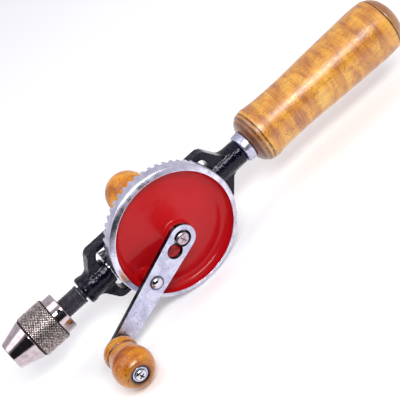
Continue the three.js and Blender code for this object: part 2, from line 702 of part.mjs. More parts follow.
function crankRivet() {
  const domeRadius = (RIVET_HEAD_RADIUS ** 2 + RIVET_HEAD_HEIGHT ** 2) / (2 * RIVET_HEAD_HEIGHT);
  const domeCentre = CRANK_FRONT + RIVET_HEAD_HEIGHT - domeRadius;
  const domeEdge = THREE.MathUtils.radToDeg(Math.asin(RIVET_HEAD_RADIUS / domeRadius));
  const rivetBack = WEB_BACK + 0.2;
  const rivet = turnedAboutY([
    ...arcPoints([domeCentre, 0], domeRadius, 0, domeEdge, 4),
    [CRANK_FRONT + FIXED_GAP, RIVET_HEAD_RADIUS],
    [CRANK_FRONT + FIXED_GAP, RIVET_RADIUS],
    [rivetBack, RIVET_RADIUS],
    [rivetBack, 0],
  ], SMALL);
  return piece("crank_rivet", placedOnCrank(rivet, RIVET_RADIUS_ON_CRANK), BRIGHT_STEEL);
}

// The angle on a ball's profile, in degrees from the front, at a distance from the ball's centre.
function ballAngle(distance, ballRadius) {
  return THREE.MathUtils.radToDeg(Math.acos(distance / ballRadius));
}

// A ball that narrows to a shallow waist and a rounded base. Its front has a recess for the screw.
function crankKnob() {
  const bore = KNOB_SCREW_RADIUS + RUNNING_GAP;
  const ballBack = KNOB_BALL_CENTRE - 5.5;
  const knob = turnedAboutY([
    [KNOB_RECESS_FLOOR, bore],
    [KNOB_RECESS_FLOOR, KNOB_RECESS_RADIUS],
    [KNOB_END, KNOB_RECESS_RADIUS + 0.4],
    ...arcPoints(
      [KNOB_BALL_CENTRE, 0],
      KNOB_BALL_RADIUS,
      ballAngle(KNOB_END - KNOB_BALL_CENTRE, KNOB_BALL_RADIUS),
      ballAngle(ballBack - KNOB_BALL_CENTRE, KNOB_BALL_RADIUS),
      8,
    ),
    [KNOB_WAIST + 3.3, KNOB_WAIST_RADIUS + 0.4],
    [KNOB_WAIST + 0.2, KNOB_WAIST_RADIUS],
    [KNOB_WAIST - 0.4, KNOB_WAIST_RADIUS + 0.4],
    [KNOB_BACK + 4.2, KNOB_BASE_RADIUS],
    [KNOB_BACK + 1.2, KNOB_BASE_RADIUS - 0.7],
    [KNOB_BACK, KNOB_BASE_RADIUS - 1.9],
    [KNOB_BACK, bore],
    [KNOB_RECESS_FLOOR, bore],
  ], MEDIUM);
  return piece("crank_knob", placedOnCrank(knob, CRANK_RADIUS), KNOB_WOOD);
}

// Stacked along the knob's screw: head, washer, knob and arm, and a nut behind the arm.
function knobHardware() {
  const group = new THREE.Group();
  const nutFront = CRANK_BACK - FIXED_GAP;
  const nutBack = nutFront - NUT_THICKNESS;
  const screwBack = nutBack - 0.8;
  const headBack = KNOB_WASHER_FRONT + FIXED_GAP;
  const screw = turnedAboutY([
    [HALF_DEPTH, 0],
    [HALF_DEPTH, SCREW_HEAD_RADIUS - 1.6],
    [HALF_DEPTH - 0.7, SCREW_HEAD_RADIUS - 0.3],
    [HALF_DEPTH - 1.4, SCREW_HEAD_RADIUS],
    [headBack, SCREW_HEAD_RADIUS],
    [headBack, KNOB_SCREW_RADIUS],
    [screwBack, KNOB_SCREW_RADIUS],
    [screwBack, 0],
  ], SMALL);
  const washer = ringAboutY(
    KNOB_WASHER_FRONT,
    KNOB_RECESS_FLOOR + END_GAP,
    KNOB_SCREW_RADIUS + FIXED_GAP,
    KNOB_RECESS_RADIUS - 0.4,
    SMALL,
  );
  const hexagon = 6;
  const nut = cut(
    rodAboutY(nutFront, nutBack, NUT_CORNER_RADIUS, hexagon),
    rodAboutY(nutFront + PAST, nutBack - PAST, KNOB_SCREW_RADIUS + FIXED_GAP, SMALL),
  );
  const slottedScrew = cut(screw, ...crossSlot(HALF_DEPTH));
  group.add(piece("knob_screw", placedOnCrank(slottedScrew, CRANK_RADIUS), BRIGHT_STEEL));
  group.add(piece("knob_washer", placedOnCrank(washer, CRANK_RADIUS), ZINC));
  group.add(piece("knob_nut", placedOnCrank(nut, CRANK_RADIUS), ZINC));
  return group;
}

// Two crossing slots cut into the front of a screw head.
function crossSlot(headFront) {
  const slot = { length: 3.4, width: 0.8, depth: 1.1 };
  const bar = (turn) => new THREE.BoxGeometry(slot.length, 2 * slot.depth, slot.width)
    .rotateY(turn)
    .translate(0, -headFront, 0);
  return [bar(0), bar(PI / 2)];
}

// ---- side knob ------------------------------------------------------------------------------

function sideKnob() {
  const group = new THREE.Group();
  const bore = AXLE_RADIUS + FIXED_GAP;
  const boreEnd = SIDE_STUD_END_Y + 2 * END_GAP;
  const ballStart = SIDE_BALL_CENTRE_Y - 11;
  const studFront = -2.6;
  const knob = turnedAboutY([
    [-SIDE_BASE_Y, bore],
    [-SIDE_BASE_Y, SIDE_BASE_RADIUS - 0.8],
    [-SIDE_BASE_Y - 1, SIDE_BASE_RADIUS],
    [-SIDE_BASE_Y - 3.4, SIDE_BASE_RADIUS],
    [-SIDE_BASE_Y - 6, SIDE_WAIST_RADIUS],
    [-SIDE_BASE_Y - 10.5, SIDE_WAIST_RADIUS + 0.4],
    ...arcPoints(
      [-SIDE_BALL_CENTRE_Y, 0],
      SIDE_BALL_RADIUS,
      ballAngle(SIDE_BALL_CENTRE_Y - ballStart, SIDE_BALL_RADIUS),
      ballAngle(SIDE_BALL_CENTRE_Y - HALF_DEPTH, SIDE_BALL_RADIUS),
      9,
    ),
    [-HALF_DEPTH, 0],
    [-boreEnd, 0],
    [-boreEnd, bore],
    [-SIDE_BASE_Y, bore],
  ], MEDIUM);
  const stud = rodAboutY(studFront, -SIDE_STUD_END_Y, AXLE_RADIUS, SMALL);
  group.add(piece("side_knob", knob, PALE_KNOB_WOOD));
  group.add(piece("side_knob_stud", stud, DARK_STEEL));
  return group;
}

// ---- chuck ----------------------------------------------------------------------------------

// Distance from the spindle axis to a jaw's own axis, at a place along the spindle.
function jawAxisRadius(x) {
  const gripInset = JAW_GRIP_LENGTH * tan(JAW_ANGLE);
  const atFront = DRILL_RADIUS_OPEN + JAW_RADIUS / cos(JAW_ANGLE) - gripInset;
  return atFront + (x - JAW_FRONT_X) * tan(JAW_ANGLE);
}

// A rod along a jaw's slide, long enough to pass both ends of the chuck's jaw holes.
function jawRod(radius, lowX, highX, facets, turn) {
  const length = (highX - lowX) / cos(JAW_ANGLE);
  const middleX = (lowX + highX) / 2;
  return new THREE.CylinderGeometry(radius, radius, length, facets)
    .rotateZ(-PI / 2)
    .rotateY(-JAW_ANGLE)
    .translate(middleX, 0, jawAxisRadius(middleX))
    .rotateX(turn);
}

function jawTurn(index) {
  return FIRST_JAW_ANGLE + (index * FULL_TURN) / JAW_COUNT;
}

// A jaw is a slanted rod whose inner side is cut to a wedge that points at the drill bit.
function chuckJaw(index) {
  const wedgeReach = 2 * CHUCK_BODY_RADIUS;
  const wedgeSide = wedgeReach * sin(PI / JAW_COUNT);
  const wedgeTop = DRILL_RADIUS_OPEN + wedgeReach * cos(PI / JAW_COUNT);
  const wedge = new THREE.Shape([
    new THREE.Vector2(0, DRILL_RADIUS_OPEN),
    new THREE.Vector2(wedgeSide, wedgeTop),
    new THREE.Vector2(-wedgeSide, wedgeTop),
  ]);
  const sector = barAlongX(wedge, JAW_FRONT_X, JAW_REAR_X).rotateX(jawTurn(index));
  const envelope = rodAboutX(JAW_FRONT_X, JAW_REAR_X, CHUCK_BODY_RADIUS - 0.4, FINE);
  const rod = jawRod(JAW_RADIUS, JAW_FRONT_X - 5, JAW_REAR_X + 5, SMALL, jawTurn(index));
  return piece(`chuck_jaw_${index + 1}`, common(rod, sector, envelope), BRIGHT_STEEL);
}

function chuckBody() {
  const blank = turnedAboutX([
    [CHUCK_NOSE_X, 0],
    [CHUCK_NOSE_X, CHUCK_NOSE_RADIUS - 0.5],
    [CHUCK_NOSE_X + 0.5, CHUCK_NOSE_RADIUS],
    [SLEEVE_FRONT_X - 0.9, CHUCK_CONE_RADIUS],
    [SLEEVE_FRONT_X - 0.1, CHUCK_CONE_RADIUS - 0.2],
    [SLEEVE_FRONT_X - 0.1, CHUCK_BODY_RADIUS],
    [RING_NUT_FRONT_X - END_GAP, CHUCK_BODY_RADIUS],
    [RING_NUT_FRONT_X - END_GAP, GROOVE_RADIUS],
    [RING_NUT_REAR_X + END_GAP, GROOVE_RADIUS],
    [RING_NUT_REAR_X + END_GAP, CHUCK_BODY_RADIUS],
    [CHUCK_REAR_X - 0.6, CHUCK_BODY_RADIUS],
    [CHUCK_REAR_X, CHUCK_BODY_RADIUS - 0.6],
    [CHUCK_REAR_X, 0],
  ], FINE);
  const drillBore = rodAboutX(CHUCK_NOSE_X - PAST, SPINDLE_FRONT_X, DRILL_RADIUS_OPEN + 0.2, SMALL);
  const spindleBore = rodAboutX(
    SPINDLE_FRONT_X - 2 * END_GAP,
    CHUCK_REAR_X + PAST,
    SPINDLE_THREAD_RADIUS + FIXED_GAP,
    SMALL,
  );
  const jawBores = [];
  const keyHoles = [];
  for (let index = 0; index < JAW_COUNT; index += 1) {
    const turn = jawTurn(index);
    jawBores.push(jawRod(JAW_RADIUS + RUNNING_GAP, CHUCK_NOSE_X - 5, JAW_REAR_X + 0.5, SMALL, turn));
    keyHoles.push(keyHole(index));
  }
  return piece("chuck_body", cut(blank, drillBore, spindleBore, ...jawBores, ...keyHoles), NICKEL);
}

// A blind hole in the collar behind the sleeve, for a bar that holds the chuck still.
function keyHole(index) {
  const holeX = (SLEEVE_REAR_X + CHUCK_REAR_X) / 2 + 0.6;
  const floorRadius = SPINDLE_THREAD_RADIUS + 1.6;
  const height = CHUCK_BODY_RADIUS + 2 - floorRadius;
  return new THREE.CylinderGeometry(KEY_HOLE_RADIUS, KEY_HOLE_RADIUS, height, 12)
    .rotateX(PI / 2)
    .translate(holeX, 0, floorRadius + height / 2)
    .rotateX(FIRST_KEY_HOLE_ANGLE + (index * FULL_TURN) / JAW_COUNT);
}

function chuckSleeve() {
  const sleeve = turnedAboutX([
    [SLEEVE_FRONT_X, SLEEVE_BORE_RADIUS],
    [SLEEVE_FRONT_X, SLEEVE_RADIUS - 0.4],
    [SLEEVE_FRONT_X + 0.4, SLEEVE_RADIUS],
    [SLEEVE_REAR_X - 0.4, SLEEVE_RADIUS],
    [SLEEVE_REAR_X, SLEEVE_RADIUS - 0.4],
    [SLEEVE_REAR_X, SLEEVE_BORE_RADIUS],
    [SLEEVE_FRONT_X, SLEEVE_BORE_RADIUS],
  ], FINE);
  return piece("chuck_sleeve", sleeve, KNURLED_STEEL);
}

// The ring nut is split in two so that it can be laid in the body's groove, and the sleeve is
// pressed over it. Its bore slopes with the jaws, whose outer sides it drives.
function chuckNutHalf(index) {
  const jawOutside = (x) => jawAxisRadius(x) + JAW_RADIUS / cos(JAW_ANGLE) + END_GAP;
  const outerRadius = SLEEVE_BORE_RADIUS - FIXED_GAP;
  const ring = turnedAboutX([
    [RING_NUT_FRONT_X, jawOutside(RING_NUT_FRONT_X)],
    [RING_NUT_FRONT_X, outerRadius],
    [RING_NUT_REAR_X, outerRadius],
    [RING_NUT_REAR_X, jawOutside(RING_NUT_REAR_X)],
    [RING_NUT_FRONT_X, jawOutside(RING_NUT_FRONT_X)],
  ], FINE);
  const side = index === 0 ? 1 : -1;
  const boxSize = 4 * SLEEVE_RADIUS;
  const middleX = (RING_NUT_FRONT_X + RING_NUT_REAR_X) / 2;
  const halfSpace = new THREE.BoxGeometry(boxSize, boxSize, boxSize)
    .translate(middleX, 0, side * (boxSize / 2 + END_GAP));
  return piece(`chuck_nut_half_${index + 1}`, common(ring, halfSpace), DARK_STEEL);
}

function chuck() {
  const group = new THREE.Group();
  group.add(chuckBody());
  group.add(chuckSleeve());
  group.add(chuckNutHalf(0));
  group.add(chuckNutHalf(1));
  for (let index = 0; index < JAW_COUNT; index += 1) {
    group.add(chuckJaw(index));
  }
  return group;
}

// ---- whole drill ----------------------------------------------------------------------------

function handDrill() {
  const drill = new THREE.Group();
  drill.add(frame());
  drill.add(handle());
  drill.add(driveWheel());
  drill.add(axleSet());
  drill.add(crankArm());
  drill.add(crankRivet());
  drill.add(crankKnob());
  drill.add(knobHardware());
  drill.add(sideKnob());
  drill.add(spindleSet());
  drill.add(thrustWashers());
  drill.add(chuck());
  drill.position.x = -(CHUCK_NOSE_X + GRIP_END_X) / 2;
  return drill;
}

const wholeDrill = new THREE.Group();
wholeDrill.add(handDrill());

export default wholeDrill;
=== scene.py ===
"""The looks of a hand drill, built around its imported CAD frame.

Shapes are made in millimetres measured from the crossing of the spindle's and the wheel's axes, and
settle() moves each one to metres in the frame. The spindle runs along X with the chuck at -X, the
wheel faces -Y, and "forward" is a distance towards -Y.
"""

import json
import math

import bmesh
import bpy
from mathutils import Matrix, Quaternion, Vector, noise


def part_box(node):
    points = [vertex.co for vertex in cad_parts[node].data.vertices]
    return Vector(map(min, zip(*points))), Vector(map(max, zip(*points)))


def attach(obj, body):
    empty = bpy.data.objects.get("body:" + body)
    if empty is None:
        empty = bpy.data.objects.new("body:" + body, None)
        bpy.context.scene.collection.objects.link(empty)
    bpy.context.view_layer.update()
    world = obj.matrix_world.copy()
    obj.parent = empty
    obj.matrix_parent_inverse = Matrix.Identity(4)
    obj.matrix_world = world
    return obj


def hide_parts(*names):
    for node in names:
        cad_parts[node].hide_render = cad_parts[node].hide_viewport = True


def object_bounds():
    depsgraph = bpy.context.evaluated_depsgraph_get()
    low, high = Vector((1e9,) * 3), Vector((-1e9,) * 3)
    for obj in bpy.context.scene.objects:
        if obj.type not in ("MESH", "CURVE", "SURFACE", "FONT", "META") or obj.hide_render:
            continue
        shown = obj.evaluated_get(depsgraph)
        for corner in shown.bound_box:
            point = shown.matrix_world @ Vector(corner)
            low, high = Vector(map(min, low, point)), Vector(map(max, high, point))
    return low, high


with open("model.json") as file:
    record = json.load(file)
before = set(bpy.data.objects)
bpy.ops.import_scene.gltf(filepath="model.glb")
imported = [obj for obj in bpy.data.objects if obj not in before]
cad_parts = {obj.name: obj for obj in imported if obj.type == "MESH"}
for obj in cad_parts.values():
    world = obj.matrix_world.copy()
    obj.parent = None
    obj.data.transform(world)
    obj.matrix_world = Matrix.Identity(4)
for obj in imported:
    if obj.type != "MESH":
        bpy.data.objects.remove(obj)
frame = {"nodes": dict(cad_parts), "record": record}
cad_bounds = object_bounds()

MM = 0.001
TAU = math.tau
ORIGIN = Vector((0, 0, 0))

# ---- sizes from the frame ----

wheel_low, wheel_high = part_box("drive_wheel")
CROSSING = Vector(((wheel_low.x + wheel_high.x) / 2, 0, 0))


def box_mm(node):
    """Lowest and highest corner of a CAD node, in millimetres from the crossing."""
    low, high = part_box(node)
    return (low - CROSSING) / MM, (high - CROSSING) / MM


def middle_mm(node):
    low, high = box_mm(node)
    return (low + high) / 2


def front_and_back(node):
    """How far forward the front and the back of a CAD node are."""
    low, high = box_mm(node)
    return -low.y, -high.y


def beside_axle(node):
    """The middle of a CAD node, moved along the axle's direction into the spindle's plane."""
    middle = middle_mm(node)
    return Vector((middle.x, 0, middle.z))


FRAME_LOW, FRAME_HIGH = box_mm("frame")
FERRULE_LOW, FERRULE_HIGH = box_mm("handle_ferrule")
GRIP_LOW, GRIP_HIGH = box_mm("handle_grip")
SPINDLE_LOW, SPINDLE_HIGH = box_mm("spindle")
CHUCK_LOW, CHUCK_HIGH = box_mm("chuck_body")
SLEEVE_LOW, SLEEVE_HIGH = box_mm("chuck_sleeve")
JAW_LOW, JAW_HIGH = box_mm("chuck_jaw_1")

BODY_OF = {
    node: body
    for body, nodes in frame["record"]["behaviour"]["bodies"].items()
    for node in nodes
}

CRANK_END = beside_axle("crank_knob")
CRANK_RADIUS = CRANK_END.length
CRANK_DIRECTION = CRANK_END.normalized()
RIVET_CENTRE = CRANK_DIRECTION * beside_axle("crank_rivet").length
ARM_FRONT, ARM_BACK = front_and_back("crank_arm")

# Gears, as in the CAD: both pitch cones meet at the crossing.
WHEEL_TEETH = 56
PINION_TEETH = 14
GEAR_MODULE = 1.375
PRESSURE_ANGLE = math.radians(20)
ADDENDUM = 0.8 * GEAR_MODULE
DEDENDUM = GEAR_MODULE
BACKLASH = 0.07
WHEEL_PITCH_RADIUS = WHEEL_TEETH * GEAR_MODULE / 2
PINION_PITCH_RADIUS = PINION_TEETH * GEAR_MODULE / 2
GEAR_FACE_WIDTH = 8
GEAR_INNER_RADIUS = WHEEL_PITCH_RADIUS - GEAR_FACE_WIDTH

# Drive wheel.
WHEEL_RADIUS = box_mm("drive_wheel")[1].x
RECESS_RADIUS = 35.9
RIM_FRONT = 18.5
WEB_FRONT = 12.2
WEB_BACK = 9.4
HUB_RADIUS = 9
HUB_FRONT = 22.6
HUB_TIP_RADIUS = 7.8
HUB_BACK = front_and_back("drive_wheel")[1]
AXLE_RADIUS = 3
AXLE_NECK_RADIUS = 2
AXLE_HEAD_RADIUS = 3.9

# Chuck and spindle.
DRILL_RADIUS = 3.2
JAW_COUNT = 3
JAW_ANGLE = math.radians(16)
JAW_RADIUS = 2.2
JAW_GRIP_LENGTH = 8
FIRST_JAW_ANGLE = math.radians(90)
SPINDLE_RADIUS = 3.9
SPINDLE_TAIL_RADIUS = 3
SPINDLE_SHOULDER_X = -59.8
THREAD_RADIUS = SPINDLE_HIGH.z
THREAD_PITCH = 1.27
THREAD_DEPTH = 0.5
PINION_HUB_RADIUS = 6.2

# Fastenings and fits.
RIVET_RADIUS = 2
RIVET_HEAD_RADIUS = 3.7
SCREW_RADIUS = 2.5
STUD_RADIUS = 3
TANG_RADIUS = 4
TENON_RADIUS = 7.1
PIN_RADIUS = 1.25
PIN_CENTRE = Vector((middle_mm("pinion_pin").x, 0, 0))
FIXED_GAP = 0.02
GAP = 0.05
WASHER_GAP = 0.15

FACETS = 128
SHARP_ANGLE = math.radians(35)

# ---- mesh helpers ----


def add_to_scene(name, data):
    obj = bpy.data.objects.new(name, data)
    bpy.context.scene.collection.objects.link(obj)
    return obj


def new_object(bm, name="shape"):
    bmesh.ops.recalc_face_normals(bm, faces=bm.faces)
    mesh = bpy.data.meshes.new(name)
    bm.to_mesh(mesh)
    bm.free()
    return add_to_scene(name, mesh)


def even_angles(count=FACETS):
    return [TAU * step / count for step in range(count)]


def along_spindle(along, radius, angle):
    return Vector((along, radius * math.cos(angle), radius * math.sin(angle)))


def along_axle(forward, radius, angle):
    return Vector((radius * math.cos(angle), -forward, radius * math.sin(angle)))


def across_wheel(turn):
    """The direction at an angle in the plane of the wheel."""
    return Vector((math.cos(turn), 0, math.sin(turn)))


def on_wheel_face(direction, centre=ORIGIN):
    """A function that places (u, v, forward), with u along a direction across the wheel."""
    side = Vector((-direction.z, 0, direction.x))
    return lambda u, v, forward: centre + direction * u + side * v + Vector((0, -forward, 0))


def lathe(profile, axis, angles=None, centre=ORIGIN, warp=None):
    """Turns a profile of (along, radius) points about an axis. The profile starts and ends on the
    axis, or else closes on itself. warp(along, radius, angle, share) may move a point that has a
    third number, its share of the warp."""
    angles = angles or even_angles()
    bm = bmesh.new()
    rows = []
    for point in profile:
        along, radius, share = (*point, 0)[:3]
        if radius == 0:
            rows.append([bm.verts.new(axis(along, 0, 0) + centre)])
            continue
        moved = [warp(along, radius, angle, share) if share else (along, radius) for angle in angles]
        rows.append([bm.verts.new(axis(*place, angle) + centre) for place, angle in zip(moved, angles)])
    closed = profile[0][1] != 0
    for first, second in zip(rows, rows[1:] + (rows[:1] if closed else [])):
        join_rows(bm, first, second)
    return new_object(bm)


def join_rows(bm, first, second):
    """Faces between two rings of vertices, either of which may be a single point."""
    if len(first) == 1 and len(second) == 1:
        return
    count = max(len(first), len(second))
    for step in range(count):
        following = (step + 1) % count
        if len(first) == 1:
            corners = (first[0], second[step], second[following])
        elif len(second) == 1:
            corners = (first[step], first[following], second[0])
        else:
            corners = (first[step], first[following], second[following], second[step])
        bm.faces.new(corners)


def rounded(corners, fillet=0.3, steps=3):
    """Rounds the corners of a profile. A corner may give its own fillet as a third number. A profile
    that starts off the axis closes on itself."""
    closed = corners[0][1] != 0
    count = len(corners)
    points = []
    for index, corner in enumerate(corners):
        here = Vector(corner[:2])
        if not closed and index in (0, count - 1):
            points.append(tuple(here))
            continue
        before = Vector(corners[index - 1][:2])
        after = Vector(corners[(index + 1) % count][:2])
        size = corner[2] if len(corner) > 2 else fillet
        size = min(size, 0.45 * (before - here).length, 0.45 * (after - here).length)
        start = here + (before - here).normalized() * size
        end = here + (after - here).normalized() * size
        points += bezier(start, here, end, steps) if size > 0 else [tuple(here)]
    return points


def rounded_part(corners, fillet=0, steps=4):
    """The rounded corners of a part of a profile. Its first and last corners only give directions."""
    first, *middle, last = corners
    return rounded([(*first[:2], 0), *middle, (*last[:2], 0)], fillet, steps)[1:-1]


def bezier(start, control, end, steps):
    """Points on a quadratic curve, both ends included."""
    shares = [step / steps for step in range(steps + 1)]
    return [tuple(start * (1 - t) ** 2 + control * 2 * t * (1 - t) + end * t**2) for t in shares]


def arc(along, radius, size, start_degrees, end_degrees, steps):
    """Points on a circular arc in a profile, both ends included."""
    points = []
    for step in range(steps + 1):
        angle = math.radians(start_degrees + (end_degrees - start_degrees) * step / steps)
        points.append((along + size * math.cos(angle), radius + size * math.sin(angle)))
    return points


def smooth_through(points, steps):
    """A curve through all the points (Catmull-Rom)."""
    ends = [points[0], *points, points[-1]]
    curve = []
    for index in range(1, len(ends) - 2):
        a, b, c, d = (Vector(ends[index + offset]) for offset in (-1, 0, 1, 2))
        for step in range(steps):
            t = step / steps
            bend = (a * 2 - b * 5 + c * 4 - d) * 0.5 * t**2 + (b * 3 - a - c * 3 + d) * 0.5 * t**3
            curve.append(tuple(b + (c - a) * 0.5 * t + bend))
    return curve + [tuple(points[-1])]


def prism(outline, low, high, axis_point):
    """A straight solid between two copies of an outline. axis_point(u, v, along) places a point."""
    bm = bmesh.new()
    bottom = [bm.verts.new(axis_point(u, v, low)) for u, v in outline]
    top = [bm.verts.new(axis_point(u, v, high)) for u, v in outline]
    bm.faces.new(bottom)
    bm.faces.new(top)
    join_rows(bm, bottom, top)
    return new_object(bm)


def rod(axis, low, high, radius, centre=ORIGIN, facets=64):
    profile = [(low, 0), (low, radius), (high, radius), (high, 0)]
    return lathe(profile, axis, even_angles(facets), centre)


def apply_modifiers(obj):
    bpy.context.view_layer.update()
    depsgraph = bpy.context.evaluated_depsgraph_get()
    mesh = bpy.data.meshes.new_from_object(obj.evaluated_get(depsgraph))
    obj.modifiers.clear()
    obj.data = mesh


def combine(obj, operation, *tools):
    """Joins obj to the tools, or cuts or intersects it with them. The tools are used up."""
    for tool in tools:
        modifier = obj.modifiers.new("combine", "BOOLEAN")
        modifier.operation = operation
        modifier.solver = "MANIFOLD"
        modifier.object = tool
        apply_modifiers(obj)
        bpy.data.objects.remove(tool)


def cut(obj, *tools):
    combine(obj, "DIFFERENCE", *tools)


def use_second_material(obj, chosen):
    """Gives the second material to the faces whose centre, in millimetres, is chosen."""
    for face in obj.data.polygons:
        face.material_index = int(chosen((face.center - CROSSING) / MM))


def soften_edges(obj, width, segments=2, angle=SHARP_ANGLE):
    modifier = obj.modifiers.new("soften", "BEVEL")
    modifier.width = width
    modifier.segments = segments
    modifier.limit_method = "ANGLE"
    modifier.angle_limit = angle
    apply_modifiers(obj)
    bm = bmesh.new()
    bm.from_mesh(obj.data)
    bmesh.ops.remove_doubles(bm, verts=bm.verts, dist=0.01)
    bm.to_mesh(obj.data)
    bm.free()


def settle(obj, node, slot, *materials):
    """Moves a finished shape into the frame, and lets it stand for its CAD node."""
    obj.name = node + "_detailed"
    obj.data.transform(Matrix.Translation(CROSSING) @ Matrix.Scale(MM, 4))
    obj.data.shade_smooth()
    obj.data.set_sharp_from_angle(angle=SHARP_ANGLE)
    obj.data.materials.clear()
    for material in materials:
        obj.data.materials.append(material)
    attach(obj, BODY_OF[node])
    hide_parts(node)


# ---- materials ----


def srgb(red, green, blue):
    """A colour given as 0-255 screen values, as the linear values that shaders use."""
    return (*(((value / 255 + 0.055) / 1.055) ** 2.4 for value in (red, green, blue)), 1)


class Nodes:
    """A tree of shader nodes, with short calls for the ones used here. Sizes are in millimetres."""

    def __init__(self, owner):
        owner.use_nodes = True
        self.tree = owner.node_tree

    def add(self, kind, inputs=None, **settings):
        node = self.tree.nodes.new(kind)
        for name, value in settings.items():
            setattr(node, name, value)
        for name, value in (inputs or {}).items():
            self.feed(node.inputs[name], value)
        return node

    def feed(self, socket, value):
        if isinstance(value, bpy.types.NodeSocket):
            self.tree.links.new(value, socket)
        else:
            socket.default_value = value

    def place(self, size=1, stretch=(1, 1, 1), centre=ORIGIN):
        """The position on the piece, counted in steps of size from centre."""
        steps = [size * part * MM for part in stretch]
        start = CROSSING + centre * MM
        mapping = self.add("ShaderNodeMapping", {"Vector": self.add("ShaderNodeTexCoord").outputs["Object"]})
        mapping.inputs["Scale"].default_value = [1 / step for step in steps]
        mapping.inputs["Location"].default_value = [-s / step for s, step in zip(start, steps)]
        return mapping.outputs["Vector"]

    def noise(self, size, stretch=(1, 1, 1), detail=3, roughness=0.55, distortion=0, place=None):
        inputs = {
            "Vector": place or self.place(size, stretch),
            "Scale": 1,
            "Detail": detail,
            "Roughness": roughness,
            "Distortion": distortion,
        }
        return self.add("ShaderNodeTexNoise", inputs).outputs["Fac"]

    def maths(self, operation, first, second=0.0):
        node = self.add("ShaderNodeMath", operation=operation)
        self.feed(node.inputs[0], first)
        self.feed(node.inputs[1], second)
        return node.outputs[0]

    def between(self, value, low, high, out_low=0.0, out_high=1.0):
        """Maps low..high to out_low..out_high smoothly, and holds the ends."""
        inputs = {"Value": value, "From Min": low, "From Max": high, "To Min": out_low, "To Max": out_high}
        return self.add("ShaderNodeMapRange", inputs, interpolation_type="SMOOTHSTEP").outputs["Result"]

    def ramp(self, value, *stops):
        """A colour that goes through (position, colour) stops."""
        node = self.add("ShaderNodeValToRGB", {"Fac": value})
        elements = node.color_ramp.elements
        while len(elements) < len(stops):
            elements.new(0.5)
        for element, (position, colour) in zip(elements, stops):
            element.position = position
            element.color = colour
        return node.outputs["Color"]

    def mix(self, factor, first, second, blend="MIX"):
        node = self.add("ShaderNodeMix", data_type="RGBA", blend_type=blend)
        self.feed(node.inputs["Factor"], factor)
        self.feed(node.inputs["A"], first)
        self.feed(node.inputs["B"], second)
        return next(output for output in node.outputs if output.type == "RGBA")

    def bump(self, height, depth, normal=None):
        """Surface relief of the given depth in millimetres."""
        inputs = {"Height": height, "Distance": depth * MM, "Strength": 1.0}
        if normal:
            inputs["Normal"] = normal
        return self.add("ShaderNodeBump", inputs).outputs["Normal"]

    def parts(self, place):
        return self.add("ShaderNodeSeparateXYZ", {"Vector": place}).outputs

    def away_from(self, axis, parts):
        """The distance from an axis, of a place given by its parts."""
        squares = [self.maths("MULTIPLY", parts[name], parts[name]) for name in "XYZ" if name != axis]
        return self.maths("SQRT", self.maths("ADD", *squares))

    def turned_noise(self, axis, size):
        """The rings that a lathe leaves: noise that changes only along an axis and away from it."""
        parts = self.parts(self.place(size))
        inputs = {"X": parts[axis], "Y": self.away_from(axis, parts)}
        place = self.add("ShaderNodeCombineXYZ", inputs).outputs["Vector"]
        return self.noise(0, place=place, detail=2)

    def distance_from_axle_line(self, centre):
        """Distance in millimetres from a line along the wheel's axle direction through centre."""
        return self.away_from("Y", self.parts(self.place(centre=centre)))

    def edges(self, low=0.52, high=0.6):
        """1 on worn outer edges, 0 elsewhere."""
        pointiness = self.add("ShaderNodeNewGeometry").outputs["Pointiness"]
        patches = self.between(self.noise(3), 0.4, 0.65)
        return self.maths("MULTIPLY", self.between(pointiness, low, high), patches)


class Shader(Nodes):
    """A new material and its nodes."""

    def __init__(self, name):
        self.material = bpy.data.materials.new(name)
        super().__init__(self.material)

    def finish(self, **inputs):
        """Feeds the surface's inputs, named in lower case with underscores."""
        sockets = self.tree.nodes["Principled BSDF"].inputs
        for name, value in inputs.items():
            self.feed(sockets[name.replace("_", " ").title().replace("Ior", "IOR")], value)
        return self.material


def black_enamel():
    s = Shader("black_enamel")
    tone = s.noise(7, detail=2)
    base = s.mix(tone, srgb(1, 1, 9), srgb(9, 6, 28))
    base = s.mix(s.edges(0.58, 0.68), base, srgb(50, 47, 66))
    lumps = s.bump(s.noise(2.4, detail=2), 0.5)
    grit = s.bump(s.noise(0.5, detail=3), 0.05, lumps)
    return s.finish(
        base_color=base,
        roughness=s.between(s.noise(4), 0.3, 0.7, 0.2, 0.34),
        specular_ior_level=0.05,
        specular_tint=(0.6, 0.55, 1, 1),
        normal=grit,
        coat_weight=0.8,
        coat_ior=1.35,
        coat_roughness=0.06,
        coat_normal=lumps,
    )


def red_enamel():
    s = Shader("red_enamel")
    base = s.mix(s.noise(16, detail=2), srgb(160, 7, 14), srgb(184, 13, 22))
    base = s.mix(s.between(s.noise(0.8), 0.62, 0.75, 0, 0.25), base, srgb(140, 10, 16))
    # Painted shade: the hub's face goes near-black round the axle, where the crank's hole shows it in shadow.
    painted_shade = s.between(s.distance_from_axle_line(ORIGIN), HUB_RADIUS - 3.4, HUB_RADIUS - 2.4, 0.92, 0)
    base = s.mix(painted_shade, base, srgb(30, 26, 34))
    waves = s.bump(s.noise(6, detail=1), 0.12)
    peel = s.bump(s.noise(0.9, detail=2), 0.012, waves)
    return s.finish(
        base_color=base,
        roughness=0.5,
        specular_ior_level=0.08,
        normal=peel,
        coat_weight=0.36,
        coat_roughness=s.between(s.noise(5), 0.3, 0.7, 0.06, 0.16),
        coat_normal=waves,
    )


